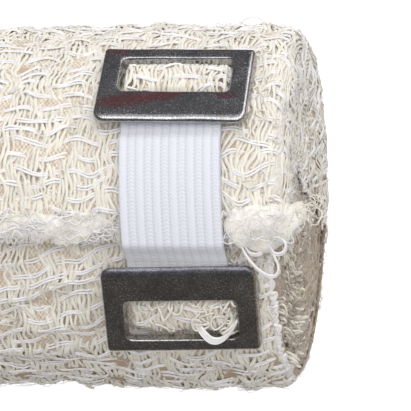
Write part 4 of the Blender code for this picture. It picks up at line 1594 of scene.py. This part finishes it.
def over_lower_plate(right, up, out):
    """Points by their place on the lower plate as it is seen, in millimetres."""
    middle, along, across, normal = axes_of(PLATES["clip_plate_lower"])
    offset = out[..., None] * normal - right[..., None] * along - up[..., None] * across
    return middle + MM * offset


# A loop of weft that hangs over the lower window's edge: right, up and out of the plate, in mm
WINDOW_LOOP = (
    (1.2, -1.6, -1.0), (1.9, -2.5, -0.5), (2.7, -3.5, 0.1), (3.5, -4.15, 0.45),
    (4.4, -4.3, 0.5), (5.3, -3.85, 0.4), (6.2, -3.0, -0.1), (6.9, -2.2, -0.8),
)
# Loops of weft: x in mm, angle in degrees and height over the cloth in mm, from one end round to
# the other. The first three hang from the loose corner, and the last two lie on the cloth.
HANGING_LOOPS = (
    ((29.0, 40.2, 0.6), (29.6, 40.2, 1.0), (30.1, 39.3, 1.3), (30.9, 37.3, 1.4), (31.9, 37.8, 1.4),
     (32.2, 39.9, 1.4), (31.7, 41.2, 1.3), (31.0, 41.6, 1.1), (30.2, 41.2, 0.7)),
    ((26.6, 39.0, 0.6), (27.3, 36.4, 1.1), (28.4, 33.4, 1.3), (29.7, 31.2, 1.4), (30.8, 31.1, 1.4),
     (31.2, 33.4, 1.4), (30.6, 37.0, 1.2), (29.7, 39.8, 1.0), (29.0, 41.5, 0.6)),
    ((26.9, 39.2, 0.4), (27.6, 37.2, 0.7), (28.6, 36.8, 0.8), (29.3, 38.0, 0.7), (29.0, 39.4, 0.6)),
    ((22.0, 137, -0.2), (22.5, 138, 0.6), (23.4, 138, 1.15), (24.6, 138, 1.2), (25.5, 137, 0.7),
     (26.0, 136, -0.2)),
    ((23.2, 321, -1.3), (23.5, 320, -0.5), (24.2, 319, 0.0), (24.9, 319, -0.4), (25.2, 320, -1.2)),
)


def hanging_loops():
    """White loops of weft, in strands side by side: smooth curves through the tables' places."""
    right, up, out = np.moveaxis(eased_rows(WINDOW_LOOP, 8)[None], -1, 0)
    normal = axes_of(PLATES["clip_plate_lower"])[3]
    groups = []
    for strand in (-1, 0, 1):
        centres = over_lower_plate(right + 0.14 * strand, up + 0.34 * strand, out)
        groups.append(tubes(centres, 0.21 * MM, normal, 6, [0.7], 1.0))
    for number, points in enumerate(HANGING_LOOPS):
        x, middle, height = np.moveaxis(eased_rows(points, 8)[None], -1, 0)
        for strand in (-1, 1):
            angle = middle + strand * 0.33
            centres = place(x * MM, angle, ROLL_RADIUS + (height * MM + strand * 0.10 * MM))
            shade = [0.6 + 0.2 * number]
            groups.append(tubes(centres, 0.14 * MM, outwards_at(angle), 6, shade, 1.0))
    return groups


# Snarls over the cloth: how many, or None for the panel's number; the limits of their place across,
# round and above it, and of their size; and the yarn's radius. Millimetres and degrees.
SNARLS = (
    (None, (-30, 30), (42, 400), (-0.1, 0.15), (0.25, 0.6), 0.13),
    (16, (24, 30), (44, 110), (0.0, 0.3), (0.25, 0.6), 0.12),
    (22, (12.5, 24.5), (371, 384), (0.1, 0.45), (0.55, 1.0), 0.17),
    (26, (-30, 30), (325, 398), (-0.1, 0.3), (0.3, 0.7), 0.13),
)
# Fine fibres in the same way, with the limits of their length and of how high they rise.
FIBRES = (
    (None, (-30, 30), (38, 400), (-0.1, 0.2), (1.0, 3.0), (0.05, 0.5), 0.035),
    (900, (-30, 30), (39.5, 49.5), (0.3, 0.7), (0.8, 2.4), (0.1, 0.6), 0.035),
    (90, (24, 33), (40.5, 49), (0.7, 1.5), (0.6, 2.2), (0.1, 0.7), 0.028),
    (320, (31, 46), (37.5, 42), (0.0, 0.4), (0.8, 2.4), (0.1, 0.5), 0.035),
)


class BANDAGE_OT_raise_fuzz(bpy.types.Operator):
    """Scatter small snarls of yarn and fine fibres over the cloth"""

    bl_idname = "bandage.raise_fuzz"
    bl_label = "Raise the fuzz"

    def execute(self, context):
        settings = context.scene.bandage
        curls, fine = [], []
        for index, (count, across, angle, height, size, radius) in enumerate(SNARLS):
            spots = scatter(count or settings.curls, 300 + index, across, angle, height)
            curls.append(snarls(spots, 310 + index, size, radius))
        strands("yarn_snarls", curls, warp_material(settings))
        for index, (count, across, angle, height, *shape) in enumerate(FIBRES):
            spots = scatter(count or settings.fibres, 320 + 2 * index, across, angle, height)
            fine.append(fine_fibres(spots, 321 + 2 * index, *shape))
        strands("fine_fibres", fine, weft_material(settings))
        return {"FINISHED"}


# ---------------------------------------------------------------- the clip


class BANDAGE_OT_make_elastic(bpy.types.Operator):
    """Weave the ribbed elastic of the clip"""

    bl_idname = "bandage.make_elastic"
    bl_label = "Make the elastic"

    def execute(self, context):
        settings = context.scene.bandage
        per_rib = 6
        share = np.linspace(0, 1, BAND_RIBS * per_rib + 1)[:, None]
        angle = np.linspace(BAND_BOTTOM_ANGLE, BAND_TOP_ANGLE, 90)[None, :]
        x = BAND_X_AT_TOP + BAND_LEAN * (BAND_TOP_ANGLE - angle) + BAND_WIDTH * (share - 0.5)
        up = smooth((angle - STEP_DOWN[0]) / (STEP_DOWN[1] - STEP_DOWN[0]))
        low = turn_radius(angle + 360)
        inner = low + (turn_radius(angle) - low) * up + GAP
        lips = np.maximum(smooth((angle - PINCH[1]) / 4), smooth((PINCH[0] - angle) / 4))
        thickness = BAND_THICKNESS + (BAND_PINCHED - BAND_THICKNESS) * lips
        rib = np.minimum((share * BAND_RIBS).astype(int), BAND_RIBS - 1)
        crown = abs(np.sin(np.pi * (share * BAND_RIBS - rib))) ** 0.6
        run = arc(angle)
        fall = (0.13 * MM * (1 - crown) + 0.05 * MM * (rib % 2)) * (1 - 0.4 * lips)
        outer = inner + thickness - fall
        white = elastic_material("white_elastic", settings.elastic, (0.60, 0.62, 0.71))
        top, under = place(x, angle, outer), place(x, angle, inner)
        ribs = share * BAND_RIBS * MM + 0 * run
        made = slab("ribbed_elastic", top, under, ribs, run + 0 * x, white)
        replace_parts(made, "clip_band")
        return {"FINISHED"}


# A point of a plate's section: how far it is outside the plate's outline, or inside the window's,
# and
# how high over its face, and then the same on the side with the lip
ProfilePoint = collections.namedtuple("ProfilePoint", "out height lip_out lip_height")
RIM_OUTSIDE = (
    ProfilePoint(0.25 * MM, -PLATE_DEPTH, -0.30 * MM, -1.05 * MM),
    ProfilePoint(0.08 * MM, -0.40 * MM, 0.00 * MM, -0.55 * MM),
    ProfilePoint(-0.08 * MM, -0.10 * MM, -0.22 * MM, -0.16 * MM),
    ProfilePoint(-0.35 * MM, 0.00 * MM, -0.80 * MM, 0.00 * MM),
)
RIM_INSIDE = (
    ProfilePoint(-0.42 * MM, -PLATE_SHEET, -0.80 * MM, -0.42 * MM),
    ProfilePoint(-0.09 * MM, -PLATE_DEPTH, -0.63 * MM, -0.92 * MM),
)
WINDOW_RIM = (
    ProfilePoint(-0.30 * MM, 0.00 * MM, -0.30 * MM, 0.00 * MM),
    ProfilePoint(-0.06 * MM, -0.12 * MM, -0.06 * MM, -0.12 * MM),
    ProfilePoint(0.24 * MM, -WINDOW_DEPTH, 0.24 * MM, -WINDOW_DEPTH),
    ProfilePoint(-0.10 * MM, -WINDOW_DEPTH, -0.10 * MM, -WINDOW_DEPTH),
    ProfilePoint(-0.40 * MM, -PLATE_SHEET, -0.40 * MM, -PLATE_SHEET),
)
CORNER_STEPS = 10
SIDE_STEPS = 16


def rounded_loop(half_width, far, near, far_corner, near_corner):
    """Points round a rectangle with rounded corners, from its right side's lower end."""
    corners = (
        (half_width - near_corner, near + near_corner, near_corner, -90),
        (half_width - far_corner, far - far_corner, far_corner, 0),
        (far_corner - half_width, far - far_corner, far_corner, 90),
        (near_corner - half_width, near + near_corner, near_corner, 180),
    )
    arcs = []
    for middle_a, middle_b, radius, start in corners:
        turn = np.radians(np.linspace(start, start + 90, CORNER_STEPS))
        a, b = middle_a + radius * np.cos(turn), middle_b + radius * np.sin(turn)
        arcs.append(np.stack([a, b], axis=-1))
    pieces = []
    for arc_points, following in zip(arcs, arcs[1:] + arcs[:1]):
        share = np.linspace(0, 1, SIDE_STEPS + 1)[1:-1, None]
        pieces += [arc_points, arc_points[-1] + (following[0] - arc_points[-1]) * share]
    return np.concatenate(pieces)


def outline_row(point):
    """One row round the plate, its lip side with a height of its own."""
    half_height = PLATE_HEIGHT / 2
    far_corner = max(FAR_CORNER + point.out, 0.1 * MM)
    lip_corner = LIP_CORNER + point.out
    half_width, near = PLATE_WIDTH / 2 + point.out, -half_height - point.lip_out
    flat = rounded_loop(half_width, half_height + point.out, near, far_corner, lip_corner)
    on_lip = smooth((-half_height + lip_corner - flat[:, 1]) / lip_corner)
    height = point.height + (point.lip_height - point.height) * on_lip
    return np.column_stack([flat, height])


def window_row(point):
    """One row round the window, which out makes smaller."""
    far = PLATE_HEIGHT / 2 - WINDOW_MARGIN
    corner = max(WINDOW_CORNER - point.out, 0.1 * MM)
    half_width, near = WINDOW_WIDTH / 2 - point.out, far - WINDOW_HEIGHT + point.out
    flat = rounded_loop(half_width, far - point.out, near, corner, corner)
    return np.column_stack([flat, np.full(len(flat), point.height)])


def eased(points, steps):
    """Profile points joined by a smooth curve through them all (a Catmull-Rom spline)."""
    return [ProfilePoint(*row) for row in eased_rows(points, steps)]


def put_plate(name, plate, material):
    """One plate as a closed mesh: rows of points round its rim, face and window, and back."""
    rim = [outline_row(point) for point in eased(RIM_OUTSIDE, 5)]
    window = [window_row(point) for point in eased(WINDOW_RIM[:3], 5)]
    face = [rim[-1] * (1 - part) + window[0] * part for part in np.linspace(0, 1, 7)[1:-1]]
    behind = [window_row(point) for point in WINDOW_RIM[3:]]
    behind += [outline_row(point) for point in RIM_INSIDE]
    local = np.array(rim + face + window + behind)
    dent = uneven(0.05, 3 if plate.lip_below else 4, 9, local[..., 0], local[..., 1])
    local[..., 2] += dent * (local[..., 2] > -0.2 * MM) * 0.6
    middle, along, across, normal = axes_of(plate)
    points = middle + local[..., :1] * along + local[..., 1:2] * across + local[..., 2:] * normal
    number = np.arange(points.size // 3).reshape(points.shape[:2])
    faces = band_faces(number, np.roll(number, -1, axis=0)).reshape(-1, 4)
    points = points.reshape(-1, 3)
    if facing_in(points, faces):
        faces = faces[:, ::-1]
    upright = 1 if plate.lip_below else -1
    uv = (local[..., :2].reshape(-1, 2) * upright / MM)[faces].reshape(-1, 2)
    made = put_mesh(name.replace("clip_plate", "stamped_plate"), points, [faces], uv)
    made.data.set_sharp_from_angle(angle=math.radians(50))
    return finish_piece(made, material)


class BANDAGE_OT_stamp_plates(bpy.types.Operator):
    """Stamp the two windowed metal plates"""

    bl_idname = "bandage.stamp_plates"
    bl_label = "Stamp the plates"

    def execute(self, context):
        settings = context.scene.bandage
        upper = metal_material(
            "upper_stamped_sheet", settings.metal, (0.95, 0.95, 0.97), 0.9, reflected_red=UPPER_REFLECTED_RED
        )
        lower = metal_material(
            "lower_stamped_sheet",
            settings.lower_metal_shaded,
            (0.80, 0.79, 0.77),
            0.95,
            dull_from=LOWER_DULL_FROM,
        )
        for (name, plate), material in zip(PLATES.items(), (upper, lower)):
            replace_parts(put_plate(name, plate, material), name)
        return {"FINISHED"}


# ---------------------------------------------------------------- the stage and the panel


class BANDAGE_OT_set_stage(bpy.types.Operator):
    """Set the floor, the lights and the camera"""

    bl_idname = "bandage.set_stage"
    bl_label = "Set the stage"

    def execute(self, context):
        scene = context.scene
        set_floor()
        set_world(scene)
        set_lights()
        set_camera(scene)
        scene.view_settings.view_transform = "Standard"
        return {"FINISHED"}


def set_floor():
    """A wide pale sheet at z = 0."""
    size = 1.5
    corner = np.array([(-size, -size, 0), (size, -size, 0), (size, size, 0), (-size, size, 0)])
    floor = put_mesh("floor", corner, [np.array([[0, 1, 2, 3]])])
    material, nodes, shader = new_material("pale_floor")
    share = nodes.noise(nodes.spot(), 3.0, 2.0)
    tone = nodes.mix(share, (0.36, 0.36, 0.36), (0.38, 0.38, 0.38))
    nodes.feed(shader.inputs["Base Color"], tone)
    shader.inputs["Roughness"].default_value = 0.9
    seen = nodes.add("ShaderNodeLightPath").outputs["Is Camera Ray"]
    nodes.feed(shader.inputs["Emission Color"], nodes.mix(seen, (0, 0, 0), (1, 1, 1)))
    shader.inputs["Emission Strength"].default_value = 0.95
    floor.data.materials.append(material)
    floor.visible_glossy = False


SURROUND = (1.0, 0.985, 0.965)  # the light that reaches the cloth from all round
# What the metal mirrors: a dark room, warm at the right, with pale bands straight above and below
ROOM_LOW, ROOM_HIGH = (0.19, 0.18, 0.17), (0.20, 0.20, 0.215)
ROOM_RIGHT = (0.66, 0.53, 0.42)
ROOM_OVERHEAD = (1.3, 1.3, 1.33)
ROOM_UNDERFOOT = (1.4, 1.28, 1.15)


def set_world(scene):
    """A white surround, dark where it is mirrored in metal."""
    world = bpy.data.worlds.new("studio")
    world.use_nodes = True
    scene.world = world
    nodes = Nodes(world.node_tree)
    world.node_tree.nodes.clear()
    ray = nodes.add("ShaderNodeLightPath").outputs["Is Glossy Ray"]
    rightwards, _, upwards = nodes.parts(nodes.add("ShaderNodeTexCoord").outputs["Generated"])
    room = nodes.mix(nodes.spread(upwards, -0.2, 0.35), ROOM_LOW, ROOM_HIGH)
    room = nodes.mix(nodes.spread(rightwards, 0.45, 0.80), room, ROOM_RIGHT)
    room = nodes.mix(nodes.spread(upwards, 0.80, 0.95), room, ROOM_OVERHEAD)
    room = nodes.mix(nodes.spread(upwards, -0.72, -0.90), room, ROOM_UNDERFOOT)
    colour = nodes.mix(ray, SURROUND, room)
    background = nodes.add("ShaderNodeBackground")
    nodes.feed(background.inputs["Color"], colour)
    background.inputs["Strength"].default_value = 0.72
    out = nodes.add("ShaderNodeOutputWorld")
    nodes.feed(out.inputs["Surface"], background.outputs[0])


def set_lights():
    """A wide soft light over the front of the roll, and a weaker one over its back."""
    target = np.array([0.0, 0.0, AXIS_HEIGHT])
    lights = (
        ("top_light", 72.0, 16.0, 0.60, 0.75, 1.75, (1.0, 0.988, 0.972)),
        ("back_light", 125.0, 20.0, 0.70, 0.40, 0.8, (0.97, 0.98, 1.0)),
    )
    for name, elevation, swing, distance, size, power, colour in lights:
        data = bpy.data.lights.new(name, "AREA")
        data.shape = "DISK"
        data.size = size
        data.energy = power
        data.color = colour
        light = bpy.data.objects.new(name, data)
        swing = math.radians(swing)
        direction = outwards_at(np.array(elevation)) * math.cos(swing)
        direction = direction + np.array([1, 0, 0]) * math.sin(swing)
        light.location = target + direction * distance
        light.rotation_euler = aim(direction)
        bpy.context.scene.collection.objects.link(light)


def aim(back):
    """Euler angles that turn an object's own +Z along a direction."""
    return Vector(back).to_track_quat("Z", "Y").to_euler()


def set_camera(scene):
    """The camera faces the roll at VIEW_ANGLE, a little from the side, with its axis level."""
    turn = math.radians(VIEW_ANGLE)
    yaw = math.radians(VIEW_YAW)
    lengthwise = np.array([1.0, 0, 0])
    outwards = np.array([0, -math.cos(turn), math.sin(turn)])
    upwards = np.array([0, math.sin(turn), math.cos(turn)])
    right = math.cos(yaw) * lengthwise - math.sin(yaw) * outwards
    back = math.sin(yaw) * lengthwise + math.cos(yaw) * outwards
    data = bpy.data.cameras.new("camera")
    data.sensor_width = 36
    data.lens = FOCAL_PIXELS / IMAGE_SIZE * data.sensor_width
    data.clip_start = 0.01
    camera = bpy.data.objects.new("camera", data)
    spot = np.array([0, 0, AXIS_HEIGHT])
    for distance, way in zip(CAMERA_AT, (lengthwise, outwards, upwards)):
        spot = spot + distance * way
    matrix = Matrix.Identity(4)
    for column, vector in enumerate((right, upwards, back, spot)):
        for row in range(3):
            matrix[row][column] = vector[row]
    camera.matrix_world = matrix
    scene.collection.objects.link(camera)
    scene.camera = camera


class BANDAGE_PT_panel(bpy.types.Panel):
    """Lists the steps that build the bandage"""

    bl_idname = "BANDAGE_PT_panel"
    bl_label = "Crepe bandage roll"
    bl_space_type = "VIEW_3D"
    bl_region_type = "UI"
    bl_category = "Bandage"

    def draw(self, context):
        settings = context.scene.bandage
        for name in BandageSettings.__annotations__:
            self.layout.prop(settings, name)
        for step in STEPS:
            self.layout.operator(step.bl_idname)


STEPS = (
    BANDAGE_OT_set_stage,
    BANDAGE_OT_wind_cloth,
    BANDAGE_OT_lay_warps,
    BANDAGE_OT_lay_wefts,
    BANDAGE_OT_finish_ends,
    BANDAGE_OT_fray_edge,
    BANDAGE_OT_raise_fuzz,
    BANDAGE_OT_make_elastic,
    BANDAGE_OT_stamp_plates,
)
CLASSES = (BandageSettings, *STEPS, BANDAGE_PT_panel)


def register():
    for made in CLASSES:
        bpy.utils.register_class(made)
    bpy.types.Scene.bandage = PointerProperty(type=BandageSettings)


def unregister():
    del bpy.types.Scene.bandage
    for made in reversed(CLASSES):
        bpy.utils.unregister_class(made)


def main():
    register()
    bpy.ops.bandage.set_stage()
    bpy.ops.bandage.wind_cloth()
    bpy.ops.bandage.lay_warps()
    bpy.ops.bandage.lay_wefts()
    bpy.ops.bandage.finish_ends()
    bpy.ops.bandage.fray_edge()
    bpy.ops.bandage.raise_fuzz()
    bpy.ops.bandage.make_elastic()
    bpy.ops.bandage.stamp_plates()


if __name__ == "__main__":
    main()
